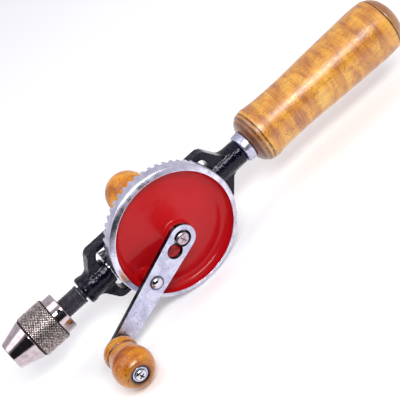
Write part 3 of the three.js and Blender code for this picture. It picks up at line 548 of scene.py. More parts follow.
def zinc(name="zinc", blotch=5, pits=0.5, shade_rings=()):
    """Plated steel, mottled and lightly scuffed. Each (centre, radius) given as a ring gets a dark ring of
    painted shade round it, the shade at the foot of a part that stands on the plate."""
    s = Shader(name)
    cloud = s.noise(blotch, detail=4, roughness=0.6)
    scuffs = s.noise(0.35, stretch=(1, 1, 9), detail=3, distortion=0.4)
    base = s.mix(s.between(cloud, 0.35, 0.65), srgb(200, 202, 222), srgb(178, 179, 204))
    base = s.mix(s.between(s.noise(0.8, detail=3), 0.57, 0.68, 0, pits), base, srgb(60, 58, 74))
    # Painted shade: a dark ring round each given centre.
    for centre, radius in shade_rings:
        ring = s.between(s.distance_from_axle_line(centre), radius + 0.15, radius + 1.1, 0.85, 0)
        base = s.mix(ring, base, srgb(40, 36, 42))
    rough = s.maths("ADD", s.between(cloud, 0.3, 0.7, 0.24, 0.4), s.between(scuffs, 0.5, 0.8, 0, 0.12))
    relief = s.bump(cloud, 0.05)
    return s.finish(
        base_color=base, metallic=1, roughness=rough, normal=s.bump(scuffs, 0.006, relief)
    )


def cast_rim():
    """The wheel's bare metal: plated over a casting that was turned in a lathe."""
    s = Shader("turned_zinc")
    rings = s.turned_noise("Y", 0.22)
    cloud = s.noise(4, detail=4)
    base = s.mix(s.between(cloud, 0.35, 0.7), srgb(222, 220, 236), srgb(186, 183, 205))
    base = s.mix(s.between(s.noise(0.5), 0.66, 0.8, 0, 0.25), base, srgb(70, 68, 82))
    return s.finish(
        base_color=base,
        metallic=1,
        roughness=s.between(cloud, 0.3, 0.7, 0.2, 0.36),
        normal=s.bump(rings, 0.008, s.bump(cloud, 0.04)),
    )


def turned_metal(name, light, dark, roughness, axis, ring_depth=0.004):
    """Bright metal with fine lathe rings and faint stains."""
    s = Shader(name)
    rings = s.turned_noise(axis, 0.2)
    cloud = s.noise(3, detail=4)
    base = s.mix(s.between(cloud, 0.4, 0.75), light, dark)
    rough = s.maths("ADD", roughness, s.between(rings, 0.4, 0.8, 0, 0.08))
    return s.finish(base_color=base, metallic=1, roughness=rough, normal=s.bump(rings, ring_depth))


def foot_shaded_steel(name, centre, shade_start_radius, dark_radius):
    """Bright steel that turns dark and dull round its foot: painted shade where it meets the part below."""
    s = Shader(name)
    cloud = s.noise(0.9, detail=3)
    base = s.mix(cloud, srgb(232, 230, 238), srgb(176, 172, 186))
    # Painted shade: dark, less metallic and rougher towards the rim of the head.
    painted_shade = s.between(s.distance_from_axle_line(centre), shade_start_radius, dark_radius)
    base = s.mix(painted_shade, base, srgb(28, 26, 32))
    return s.finish(
        base_color=base,
        metallic=s.between(painted_shade, 0, 1, 1, 0.5),
        roughness=s.between(painted_shade, 0, 1, 0.12, 0.5),
        normal=s.bump(cloud, 0.03),
    )


def knurled_steel():
    """Warm steel, with painted shade in the knurl's valleys."""
    s = Shader("knurled_steel")
    radius = s.away_from("X", s.parts(s.place()))
    unshaded_crest = s.between(radius, SLEEVE_HIGH.z - 0.6 * KNURL_DEPTH, SLEEVE_HIGH.z - 0.1 * KNURL_DEPTH)
    wear = s.between(s.noise(1.1, detail=2), 0.35, 0.65)
    metal = s.mix(wear, srgb(140, 128, 127), srgb(242, 228, 225))
    # Painted shade: the valleys are near-black, less metallic and rougher than the crests.
    base = s.mix(unshaded_crest, srgb(34, 28, 29), metal)
    return s.finish(
        base_color=base,
        metallic=s.between(unshaded_crest, 0, 1, 0.6, 1),
        roughness=s.between(unshaded_crest, 0, 1, 0.6, 0.42),
        normal=s.bump(s.noise(0.25), 0.01),
    )


def dark_steel(name="dark_steel", light=srgb(74, 72, 80), dark=srgb(34, 33, 38)):
    """Blackened, oily steel with brighter edges."""
    s = Shader(name)
    base = s.mix(s.noise(1.6, detail=4), dark, light)
    base = s.mix(s.edges(), base, srgb(150, 148, 156))
    return s.finish(
        base_color=base,
        metallic=0.9,
        roughness=s.between(s.noise(1.1), 0.3, 0.7, 0.28, 0.46),
        normal=s.bump(s.noise(0.4), 0.012),
    )


def wood(name, tones, axis, centre, ends, grooves=(), gloss=0.27, coat=1.85, recess_radius=None):
    """Varnished turned wood. tones run from dark to light, the grain runs along the axis, and ends
    are (place along the axis, fully dark place, share) of the darker ends. The grooves are darker, in
    patches, and painted shade darkens the wall and rim of a recess."""
    s = Shader(name)
    across = {"X": (1, 4.5, 4.5), "Y": (4.5, 1, 4.5)}[axis]
    lengthwise = {"X": (14, 1, 1), "Y": (1, 14, 1)}[axis]
    figure = s.noise(5.5, stretch=across, detail=4, roughness=0.6, distortion=0.6)
    clouds = s.noise(13, detail=3)
    blend = s.maths("ADD", s.maths("MULTIPLY", figure, 0.62), s.maths("MULTIPLY", clouds, 0.38))
    dark, middle, light, pale = tones
    base = s.ramp(blend, (0.36, dark), (0.46, middle), (0.54, light), (0.64, pale))
    streaks = s.noise(0.45, stretch=lengthwise, detail=3)
    base = s.mix(s.between(streaks, 0.35, 0.75, 0, 0.5), base, dark, "MULTIPLY")
    patches = s.between(s.noise(8, detail=1), 0.4, 0.6)
    specks = s.maths("MULTIPLY", s.between(s.noise(0.8, detail=3), 0.53, 0.65), patches)
    base = s.mix(s.maths("MULTIPLY", specks, 0.8), base, srgb(96, 48, 12))
    along = s.parts(s.place(centre=centre))[axis]
    for start, full, share in ends:
        base = s.mix(s.between(along, start, full, 0, share), base, srgb(110, 52, 14))
    # The grooves are darker, in patches.
    for groove in grooves:
        away = s.maths("ABSOLUTE", s.maths("SUBTRACT", along, groove))
        groove_patches = s.between(s.noise(2.5), 0.3, 0.55, 0.3, 1)
        groove_darkening = s.maths("MULTIPLY", s.between(away, 0.2, 1.0, 0.9, 0), groove_patches)
        base = s.mix(groove_darkening, base, srgb(62, 30, 12))
    # Painted shade: the recess's wall and rim go near-black.
    if recess_radius:
        rim = s.between(s.distance_from_axle_line(centre), recess_radius, recess_radius + 1.6, 0.92, 0)
        base = s.mix(rim, base, srgb(44, 26, 14))
    pores = s.bump(streaks, 0.02)
    return s.finish(
        base_color=base,
        roughness=0.5,
        specular_ior_level=0.12,
        normal=pores,
        coat_weight=1,
        coat_ior=coat,
        coat_roughness=s.between(s.noise(1.2, detail=4), 0.3, 0.7, gloss, gloss + 0.14),
        coat_normal=s.bump(s.noise(0.9, detail=3), 0.05, pores),
    )


# ---- frame ----

CAST_VOXEL = 0.5
CAST_GRIT = 0.05


def in_spindle_plane(x, z, forward):
    return Vector((x, -forward, z))


def mirrored(half):
    """Closes an outline of its upper half with the same points below the spindle line."""
    return list(half) + [(x, -z) for x, z in reversed(half)]


def loop_outline():
    rail = FRAME_HIGH.z
    half = [
        (-56, 0), (-54, 6.8), (-50.6, 7.6, 4), (-44, rail, 3),
        (41.2, rail, 3), (48.9, 6.8, 5), (56, 6.2), (56, 0),
    ]
    return mirrored(rounded_part(half, steps=5))


def window_outline():
    rail = 15.2
    half = [(-42, 0), (-42, 12), (-40, rail), (39.5, rail, 4), (39.5, 0)]
    return mirrored(rounded_part(half, steps=5))


def nose_hub(nose):
    """The bearing in front of the loop, with a collar round its mouth."""
    radius = 7.9
    collar = 8.5
    rear = -39.8
    profile = [
        (nose, 0), (nose, radius), (nose + 0.7, collar), (nose + 3.4, collar), (nose + 4.8, radius),
        (rear, radius), (rear, 0),
    ]
    return lathe(rounded(profile, 0.4), along_spindle)


def axle_boss(front, back):
    """The boss that carries the axle in front and the side knob behind."""
    radius = 8.5
    profile = [(front, 0), (front, radius), (-5, radius), (back, 6.5), (back, 0)]
    return lathe(profile, along_axle)


def cast_frame():
    depth = 4
    boss_front = front_and_back("hub_washer")[1] - WASHER_GAP
    boss_back = -FRAME_HIGH.y
    nose = FRAME_LOW.x
    neck_end = FRAME_HIGH.x
    casting = prism(loop_outline(), -depth, depth, in_spindle_plane)
    cut(casting, prism(window_outline(), -depth - 1, depth + 1, in_spindle_plane))
    bar = [(-12, -16), (9, -16), (9, 16), (-12, 16)]
    crosspiece = prism(bar, -3.5, 3.5, in_spindle_plane)
    neck = rod(along_spindle, 37.5, neck_end, 7.4, facets=FACETS)
    combine(casting, "UNION", crosspiece, axle_boss(boss_front, boss_back), nose_hub(nose), neck)
    remesh = casting.modifiers.new("skin", "REMESH")
    remesh.mode = "VOXEL"
    remesh.voxel_size = CAST_VOXEL
    smooth = casting.modifiers.new("fillets", "SMOOTH")
    smooth.factor = 0.5
    smooth.iterations = 8
    apply_modifiers(casting)
    roughen(casting, size=1.7, depth=CAST_GRIT)
    cut(
        casting,
        rod(along_spindle, nose - 1, -38, SPINDLE_RADIUS + GAP),
        rod(along_spindle, -13, -4.65, SPINDLE_TAIL_RADIUS + GAP),
        rod(along_axle, boss_front + 1, boss_back - 1, AXLE_RADIUS + GAP),
        rod(along_spindle, 46, neck_end + 1, TANG_RADIUS + GAP),
    )
    settle(casting, "frame", "black_enamel", black_enamel())


def roughen(obj, size, depth):
    """Moves each vertex along its normal by a seeded noise, as sand leaves a casting."""
    moves = []
    for vertex in obj.data.vertices:
        lump = noise.noise(vertex.co / size) + 0.5 * noise.noise(vertex.co / size * 2.3)
        moves.append(vertex.normal * lump * depth)
    for vertex, move in zip(obj.data.vertices, moves):
        vertex.co += move


# ---- handle ----


def handle_grip():
    end = GRIP_HIGH.x
    bore_end = 140.3
    bore = TANG_RADIUS + GAP
    shoulder = 65.7
    body_start = (75, 16.9)
    body_end = 169.6
    collar = rounded_part(
        [(shoulder, 0), (shoulder, 10.4), (67.2, 13.4), (70.4, 16.0), (71.6, 16.35, 0.25), body_start], 1.2, 3
    )
    groove = [(71.9, 16.4), (72.2, 16.05), (72.5, 16.05), (72.8, 16.55)]
    swell = [(84, 16.0), (103, 15.85), (127, 16.8), (147, 17.4), (160, GRIP_HIGH.z)]
    body = smooth_through([body_start, *swell, (body_end, 17.35)], 6)
    cap = rounded([(body_end, 0), (170.2, 17.2), (175.4, 14.2), (end - 0.4, 8.5), (end, 0)], 2.4, 5)[1:]
    socket = [
        (bore_end, 0), (bore_end, bore), (GRIP_LOW.x, bore),
        (GRIP_LOW.x, TENON_RADIUS), (shoulder, TENON_RADIUS),
    ]
    material = wood(
        "grip_wood",
        (srgb(160, 84, 4), srgb(196, 126, 6), srgb(218, 152, 12), srgb(226, 174, 62)),
        "X",
        ORIGIN,
        [(73.5, shoulder, 0.9), (169.4, 171, 0.6)],
        grooves=(67.4, 69.8, 72.3, 170.2),
    )
    grip = lathe([*socket, *collar, *groove, *body, *cap], along_spindle)
    settle(grip, "handle_grip", "grip_wood", material)


def handle_ferrule():
    front = FERRULE_LOW.x
    back = FERRULE_HIGH.x
    radius = FERRULE_HIGH.z
    wall = front + 1.1
    bore = TANG_RADIUS + GAP
    cup = TENON_RADIUS + 0.03
    profile = rounded([
        (front, bore), (front, radius - 0.9, 0.5), (front + 1, radius - 0.25), (back - 0.6, radius, 0.3),
        (back, radius - 0.25), (back, cup), (wall, cup), (wall, bore),
    ])
    ferrule = lathe(profile, along_spindle)
    roughen(ferrule, size=1.4, depth=0.06)
    settle(ferrule, "handle_ferrule", "zinc", zinc("ferrule_zinc", blotch=1.8, pits=0.7))


# ---- drive wheel ----

TOOTH_PITCH = TAU / WHEEL_TEETH
GAP_FLOOR_HALF = math.pi * GEAR_MODULE / 4 + BACKLASH - DEDENDUM * math.tan(PRESSURE_ANGLE)
GAP_MOUTH_HALF = math.pi * GEAR_MODULE / 4 + BACKLASH + ADDENDUM * math.tan(PRESSURE_ANGLE)
TIP_SLOPE = (PINION_PITCH_RADIUS - ADDENDUM) / WHEEL_PITCH_RADIUS
FLOOR_SLOPE = (PINION_PITCH_RADIUS + DEDENDUM) / WHEEL_PITCH_RADIUS


def gap_depth(angle):
    """1 on the floor of a gap between two wheel teeth, 0 on the tip of a tooth."""
    from_gap = abs((angle - math.pi + TOOTH_PITCH / 2) % TOOTH_PITCH - TOOTH_PITCH / 2) * WHEEL_PITCH_RADIUS
    return min(1, max(0, (GAP_MOUTH_HALF - from_gap) / (GAP_MOUTH_HALF - GAP_FLOOR_HALF)))


def tooth_angles():
    """Where the wheel's columns of vertices stand: dense at the corners of the teeth."""
    round_off = 0.14
    corners = [half + side * round_off for half in (GAP_FLOOR_HALF, GAP_MOUTH_HALF) for side in (-1, 1)]
    places = [-corner for corner in reversed(corners)] + [0] + corners
    angles = []
    for tooth in range(WHEEL_TEETH):
        middle = math.pi + tooth * TOOTH_PITCH
        angles += [middle + place / WHEEL_PITCH_RADIUS for place in places]
        angles.append(middle + TOOTH_PITCH / 2)
    return angles


def toothed(forward, radius, angle, share):
    return forward + share * radius * (FLOOR_SLOPE - TIP_SLOPE) * gap_depth(angle), radius


def wheel_front(bore, outer):
    """The profile of the hub's face, the sloping web, the cove and the rim, from the bore outwards."""
    cove = 5
    cove_start = RECESS_RADIUS - cove
    face = rounded([
        (HUB_FRONT, bore, 0), (HUB_FRONT, HUB_TIP_RADIUS, 0.5), (HUB_FRONT - 1, HUB_TIP_RADIUS + 0.1, 0.3),
        (WEB_FRONT, 18, 0),
    ], 0, 4)[:-1]
    slope = [(HUB_FRONT - 1.5, 8), (19.2, 8.6), (18, 11), (16.2, 16), (14.2, 23), (WEB_FRONT, cove_start)]
    web = smooth_through(slope, 6)[:-1]
    rim = rounded_part([
        (WEB_FRONT + cove, RECESS_RADIUS), (RIM_FRONT, RECESS_RADIUS + 0.1, 0.9),
        (RIM_FRONT - 1.8, outer, 1.1), (outer * TIP_SLOPE, outer),
    ], steps=6)
    return [*face, *web, *arc(WEB_FRONT + cove, cove_start, cove, 180, 90, 10), *rim]


def wheel_back(bore, outer):
    """The profile of the teeth, whose points move into the gaps, and of the back of the web and hub."""
    inner = GEAR_INNER_RADIUS
    chamfer = 0.25
    teeth = [(outer * TIP_SLOPE + chamfer, outer, 1), (outer * TIP_SLOPE, outer - chamfer, 1)]
    teeth += [(radius * TIP_SLOPE, radius, 1) for radius in (36, 33, inner + chamfer)]
    teeth += [(inner * TIP_SLOPE + chamfer, inner, 1)]
    web_edge = (WEB_BACK, inner - 0.6)
    hub = rounded_part([
        web_edge, (WEB_BACK, HUB_RADIUS, 1.2), (HUB_BACK, HUB_RADIUS, 0.3),
        (HUB_BACK, bore, 0.3), (HUB_FRONT, bore),
    ], steps=3)
    return [*teeth, web_edge, *hub]


def wheel_pillar():
    """The pillar that carries the crank arm under its rivet."""
    front = ARM_BACK - FIXED_GAP
    foot = WEB_FRONT - 0.6
    profile = [(front, 0), (front, 4.2, 0.3), (WEB_FRONT + 0.6, 4.6, 4), (WEB_FRONT - 0.4, 10), (foot, 0)]
    return lathe(rounded(profile, 0, 8), along_axle, centre=RIVET_CENTRE)


def drive_wheel():
    bore = AXLE_RADIUS + GAP
    profile = wheel_front(bore, WHEEL_RADIUS) + wheel_back(bore, WHEEL_RADIUS)
    wheel = lathe(profile, along_axle, tooth_angles(), warp=toothed)
    combine(wheel, "UNION", wheel_pillar())
    rivet_hole = rod(along_axle, ARM_FRONT, WEB_BACK - 1, RIVET_RADIUS + FIXED_GAP, RIVET_CENTRE)
    cut(wheel, rivet_hole)
    settle(wheel, "drive_wheel", "red_enamel", red_enamel(), cast_rim())
    web_middle = (WEB_FRONT + WEB_BACK) / 2
    web_edge = RECESS_RADIUS + 0.1
    use_second_material(wheel, lambda centre: -centre.y < web_middle or centre.xz.length > web_edge)


def wheel_axle():
    head, back = front_and_back("wheel_axle")
    washer_front = HUB_FRONT + 1
    profile = rounded([
        (head, 0), (head, AXLE_HEAD_RADIUS - 1, 0.9), (head - 0.9, AXLE_HEAD_RADIUS, 0.4),
        (washer_front, AXLE_HEAD_RADIUS), (washer_front, AXLE_NECK_RADIUS),
        (HUB_FRONT, AXLE_NECK_RADIUS), (HUB_FRONT, AXLE_RADIUS), (back, AXLE_RADIUS), (back, 0),
    ], 0.2)
    axle = lathe(profile, along_axle)
    roughen(axle, size=0.8, depth=0.04)
    for turn in (20, 110):
        cut(axle, stake_mark(head, math.radians(turn)))
    material = turned_metal("peened_steel", srgb(190, 176, 184), srgb(120, 108, 120), 0.25, "Y")
    settle(axle, "wheel_axle", "bright_steel", material)


def stake_mark(head, turn):
    """A wedge-shaped chisel mark across the riveted end of the axle."""
    half_length = 2.5
    half_width = 0.45
    depth = 0.55
    place = on_wheel_face(across_wheel(turn))
    corners = [(-1, -1), (1, -1), (1, 1), (-1, 1)]
    bm = bmesh.new()
    top = [bm.verts.new(place(u * half_length, v * half_width, head + 0.2)) for u, v in corners]
    bottom = [bm.verts.new(place(u * half_length * 0.7, 0, head - depth)) for u in (-1, 1)]
    bm.faces.new(top)
    bm.faces.new((top[0], top[1], bottom[1], bottom[0]))
    bm.faces.new((top[2], top[3], bottom[0], bottom[1]))
    bm.faces.new((top[3], top[0], bottom[0]))
    bm.faces.new((top[1], top[2], bottom[1]))
    return new_object(bm)


# ---- crank ----


def arm_outline():
    """The two end circles and their outer tangents, drawn from the axle along +X."""
    hub_end = 8
    knob_end = 5.6
    tangent = math.acos((hub_end - knob_end) / CRANK_RADIUS)
    steps = 48
    points = []
    for step in range(steps + 1):
        angle = tangent + (TAU - 2 * tangent) * step / steps
        points.append((hub_end * math.cos(angle), hub_end * math.sin(angle)))
    for step in range(steps + 1):
        angle = -tangent + 2 * tangent * step / steps
        points.append((CRANK_RADIUS + knob_end * math.cos(angle), knob_end * math.sin(angle)))
    return points


def crank_arm():
    keyhole_upper = 5.2
    keyhole_lower = 4.7
    keyhole_spacing = 8.1
    edge = 0.55
    arm = prism(arm_outline(), ARM_BACK, ARM_FRONT, on_wheel_face(CRANK_DIRECTION))
    holes = [
        (ORIGIN, keyhole_upper),
        (CRANK_DIRECTION * keyhole_spacing, keyhole_lower),
        (RIVET_CENTRE, RIVET_RADIUS + FIXED_GAP),
        (CRANK_END, SCREW_RADIUS + FIXED_GAP),
    ]
    for centre, radius in holes:
        cut(arm, rod(along_axle, ARM_BACK - 1, ARM_FRONT + 1, radius, centre, facets=96))
    soften_edges(arm, edge, 3)
    # Painted shade round the rivet's head and round the foot of the crank knob.
    plated = zinc(shade_rings=[(RIVET_CENTRE, RIVET_HEAD_RADIUS), (CRANK_END, 8.4)])
    settle(arm, "crank_arm", "zinc", plated, SHADE_BLACK)
    # Painted shade: the arm's sides and the walls of its holes get the near-black second material.
    use_second_material(arm, lambda centre: ARM_BACK + 0.4 < -centre.y < ARM_FRONT - edge - 0.01)


def crank_rivet():
    tip, back = front_and_back("crank_rivet")
    foot = ARM_FRONT + FIXED_GAP
    height = tip - ARM_FRONT
    dome = (RIVET_HEAD_RADIUS**2 + height**2) / (2 * height)
    edge = math.degrees(math.asin(RIVET_HEAD_RADIUS / dome))
    profile = [(tip, 0)] + arc(tip - dome, 0, dome, 0, edge, 14)[1:]
    profile += [(foot, RIVET_HEAD_RADIUS - 0.15), (foot, RIVET_RADIUS), (back, RIVET_RADIUS), (back, 0)]
    rivet = lathe(profile, along_axle, centre=RIVET_CENTRE)
    settle(rivet, "crank_rivet", "bright_steel", foot_shaded_steel("rivet_steel", RIVET_CENTRE, 3.0, 3.6))


def crank_knob():
    front, back = front_and_back("crank_knob")
    ball = 11.9
    centre = 45.5
    ball_end = centre - 5.5
    recess_floor = front - 1.6
    bore = SCREW_RADIUS + GAP
    waist = back + 7.4

    def ball_angle(forward):
        return math.degrees(math.acos((forward - centre) / ball))

    recess = [(recess_floor, bore), (recess_floor, 4.8), (front - 0.3, 5.0), (front, 5.4)]
    round_part = arc(centre, 0, ball, ball_angle(front - 0.25), ball_angle(ball_end), 28)
    base = rounded_part([
        (ball_end, 10.6), (waist + 3.3, 9.9, 2), (waist + 0.3, 9.4, 0.4), (waist, 9.2, 0.2),
        (waist - 0.4, 9.7, 0.5), (back + 4.2, 10.3, 2), (back + 1.2, 9.6, 1), (back, 8.4, 0.5), (back, 4),
    ])
    profile = [*recess, *round_part, *base, (back, bore)]
    material = wood(
        "knob_wood",
        (srgb(150, 72, 6), srgb(188, 106, 10), srgb(208, 134, 18), srgb(222, 160, 48)),
        "Y",
        CRANK_END,
        [(-back - 4, -back, 0.55), (-front + 3.5, -front - 0.5, 0.5)],
        grooves=(-waist, -back - 0.8),
        gloss=0.08,
        coat=1.45,
        # Painted shade round the recess that holds the screw's head.
        recess_radius=5.2,
    )
    settle(lathe(profile, along_axle, centre=CRANK_END), "crank_knob", "knob_wood", material)


def knob_screw():
    front, back = front_and_back("knob_screw")
    head_back = front_and_back("knob_washer")[0] + FIXED_GAP
    head_radius = 3.4
    slot_half = 1.75
    profile = rounded([
        (front, 0), (front, 1.9, 0.8), (front - 0.7, 3.0, 0.6), (front - 1.4, head_radius, 0.2),
        (head_back, head_radius, 0.1), (head_back, SCREW_RADIUS), (back, SCREW_RADIUS, 0.4), (back, 0),
    ], 0.1, 4)
    screw = lathe(profile, along_axle, centre=CRANK_END)
    outline = [(-slot_half, -0.4), (slot_half, -0.4), (slot_half, 0.4), (-slot_half, 0.4)]
    for turn in (0.35, 0.35 + math.pi / 2):
        place = on_wheel_face(across_wheel(turn), CRANK_END)
        cut(screw, prism(outline, front - 1.1, front + 1, place))
    settle(screw, "knob_screw", "bright_steel", foot_shaded_steel("screw_steel", CRANK_END, 3.0, 3.5), SHADE_BLACK)

    def in_slot(centre):
        return -centre.y < front - 0.75 and (centre - CRANK_END).xz.length < slot_half + 0.05

    # Painted shade: the slots' faces get the near-black second material.
    use_second_material(screw, in_slot)


def knob_nut():
    front, back = front_and_back("knob_nut")
    corner = 4.6
    hexagon = [(corner * math.cos(angle), corner * math.sin(angle)) for angle in even_angles(6)]
    nut = prism(hexagon, back, front, on_wheel_face(CRANK_DIRECTION, CRANK_END))
    cone = [(front, 0), (front, 4.1), (front - 0.4, 4.7), (back + 0.4, 4.7), (back, 4.1), (back, 0)]
    combine(nut, "INTERSECT", lathe(cone, along_axle, centre=CRANK_END))
    cut(nut, rod(along_axle, back - 1, front + 1, SCREW_RADIUS + FIXED_GAP, CRANK_END))
    settle(nut, "knob_nut", "zinc", PLAIN_ZINC)


# ---- side knob ----


def side_knob():
    base, end = front_and_back("side_knob")
    bore = STUD_RADIUS + FIXED_GAP
    bore_end = -50.3
    ball = 13.7
    centre = -45
    ball_start = -34
    start = math.degrees(math.acos((ball_start - centre) / ball))
    stop = math.degrees(math.acos((end - centre) / ball))
    neck = rounded_part([
        (base, bore), (base, 7.8, 0.4), (base - 1, 8.5, 0.5), (base - 3.4, 8.5, 0.8), (base - 6, 7.4, 2),
        (base - 11, 7.6, 2), (ball_start - 0.4, 8.6),
    ])
    socket = [(bore_end, 0), (bore_end, bore), (base, bore)]
    profile = [*socket, *neck, *arc(centre, 0, ball, start, stop, 28), (end, 0)]
    material = wood(
        "pale_knob_wood",
        (srgb(164, 84, 14), srgb(204, 126, 24), srgb(222, 150, 36), srgb(232, 172, 66)),
        "Y",
        ORIGIN,
        [(4 - base, -base, 0.5), (-end - 3, -end, 0.3)],
        gloss=0.2,
        coat=1.4,
    )
    settle(lathe(profile, along_axle), "side_knob", "pale_knob_wood", material)


# ---- spindle and pinion ----


def threaded(x, radius, angle, share):
    """A thread's triangular wave, wound round the spindle."""
    turns = x / THREAD_PITCH - angle / TAU
    wave = abs(2 * (turns % 1) - 1)
    return x, radius - share * THREAD_DEPTH * wave


def spindle():
    front = SPINDLE_LOW.x
    shoulder = SPINDLE_SHOULDER_X
    tail = SPINDLE_HIGH.x
    tail_start = -14.2
    rows_per_pitch = 8
    first = front + 0.6
    last = shoulder - 0.5
    count = round((last - first) / THREAD_PITCH * rows_per_pitch)
    thread = []
    for row in range(count + 1):
        x = first + (last - first) * row / count
        share = min(1, (x - first) / THREAD_PITCH, (last - x) / THREAD_PITCH)
        thread.append((x, THREAD_RADIUS, share))
    journal = rounded([
        (last, THREAD_RADIUS), (shoulder, THREAD_RADIUS - 0.5), (shoulder, SPINDLE_RADIUS, 0.2),
        (tail_start, SPINDLE_RADIUS, 0.2), (tail_start, SPINDLE_TAIL_RADIUS),
        (tail, SPINDLE_TAIL_RADIUS, 0.4), (tail, 0),
    ], 0)[1:]
    profile = [(front, 0), (front, THREAD_RADIUS - 0.6), *thread, *journal]
    shaft = lathe(profile, along_spindle, warp=threaded)
    cut(shaft, pin_hole())
    steel = dark_steel("blackened_steel", srgb(104, 101, 112), srgb(46, 44, 52))
    settle(shaft, "spindle", "dark_steel", steel)


def pin_hole():
    reach = 8
    return rod(along_axle, -reach, reach, PIN_RADIUS + FIXED_GAP, PIN_CENTRE)


def pinion_half_tooth(radius):
    """Half the angle that a pinion tooth fills at a radius, from the involute of its base circle."""
    base = PINION_PITCH_RADIUS * math.cos(PRESSURE_ANGLE)
    here = math.acos(min(1, base / radius))
    involute = math.tan(PRESSURE_ANGLE) - PRESSURE_ANGLE - (math.tan(here) - here)
    return math.pi / (2 * PINION_TEETH) - BACKLASH / PINION_PITCH_RADIUS + involute


def pinion_outline():
    """(radius, angle) points round the pinion, with one tooth pointing along -Y into a wheel gap."""
    base = PINION_PITCH_RADIUS * math.cos(PRESSURE_ANGLE)
    root = PINION_PITCH_RADIUS - DEDENDUM
    tip = PINION_PITCH_RADIUS + ADDENDUM
    steps = 5
    flank = [root, base] + [base + (tip - 0.15 - base) * step / steps for step in range(1, steps + 1)]
    outline = []
    for tooth in range(PINION_TEETH):
        middle = math.pi + tooth * TAU / PINION_TEETH
        outline += [(radius, middle - pinion_half_tooth(radius)) for radius in flank]
        tip_half = pinion_half_tooth(tip) - 0.012
        outline += [(tip, middle - tip_half), (tip, middle + tip_half)]
        outline += [(radius, middle + pinion_half_tooth(radius)) for radius in reversed(flank)]
    return outline


def pinion():
    front = -WHEEL_PITCH_RADIUS
    rear = box_mm("pinion")[1].x
    bm = bmesh.new()
    outline = pinion_outline()
    rows = []
    for x in (front, -GEAR_INNER_RADIUS):
        scale = -x / WHEEL_PITCH_RADIUS
        rows.append([bm.verts.new(along_spindle(x, radius * scale, angle)) for radius, angle in outline])
    join_rows(bm, *rows)
    for row in rows:
        bm.faces.new(row)
    gear = new_object(bm)
    hub = rounded([
        (front + 0.5, 0), (front + 0.5, PINION_HUB_RADIUS), (rear, PINION_HUB_RADIUS, 0.5), (rear, 0),
    ], 0, 4)
    combine(gear, "UNION", lathe(hub, along_spindle))
    bore = rod(along_spindle, front - 1, rear + 1, SPINDLE_RADIUS + FIXED_GAP)
    cut(gear, bore, pin_hole())
    steel = dark_steel("pinion_steel", srgb(104, 98, 96), srgb(44, 40, 42))
    settle(gear, "pinion", "dark_steel", steel)


def pinion_pin():
    reach = front_and_back("pinion_pin")[0]
    profile = rounded([(-reach, 0), (-reach, PIN_RADIUS), (reach, PIN_RADIUS), (reach, 0)], 0.25, 4)
    pin = lathe(profile, along_axle, even_angles(48), PIN_CENTRE)
    settle(pin, "pinion_pin", "bright_steel", BRIGHT_STEEL)


def washer(node, axis, bore, material=None, slot="bright_steel", centre=ORIGIN):
    """A ring with softened edges, in the place and outer size that the CAD node has."""
    low, high = box_mm(node)
    if axis is along_spindle:
        start, end = low.x, high.x
    else:
        start, end = -high.y, -low.y
    outer = (high.z - low.z) / 2
    profile = rounded([(start, bore), (start, outer), (end, outer), (end, bore)], 0.15)
    ring = lathe(profile, axis, even_angles(96), centre)
    settle(ring, node, slot, material or BRIGHT_STEEL)


# ---- chuck ----

KNURL_ACROSS = 60
KNURL_DEPTH = 0.5
JAW_BORE_END = -82.1
KEY_HOLE_RADIUS = 1.4
KEY_HOLE_ANGLE = math.radians(53)


def jaw_axis_radius(x):
    """Distance from the spindle's axis to a jaw's own axis."""
    at_front = DRILL_RADIUS + JAW_RADIUS / math.cos(JAW_ANGLE) - JAW_GRIP_LENGTH * math.tan(JAW_ANGLE)
    return at_front + (x - JAW_LOW.x) * math.tan(JAW_ANGLE)


def jaw_rod(radius, low, high, turn):
    """A rod along a jaw's slide."""
    along = Vector((math.cos(JAW_ANGLE), 0, math.sin(JAW_ANGLE)))
    shape = rod(along_spindle, low / math.cos(JAW_ANGLE), high / math.cos(JAW_ANGLE), radius)
    base = Vector((0, 0, jaw_axis_radius(0)))
    tilt = Matrix.Rotation(-JAW_ANGLE, 4, "Y")
    shape.data.transform(Matrix.Rotation(turn, 4, "X") @ Matrix.Translation(base) @ tilt)
    return shape


def jaw_turn(index):
    return FIRST_JAW_ANGLE + index * TAU / JAW_COUNT


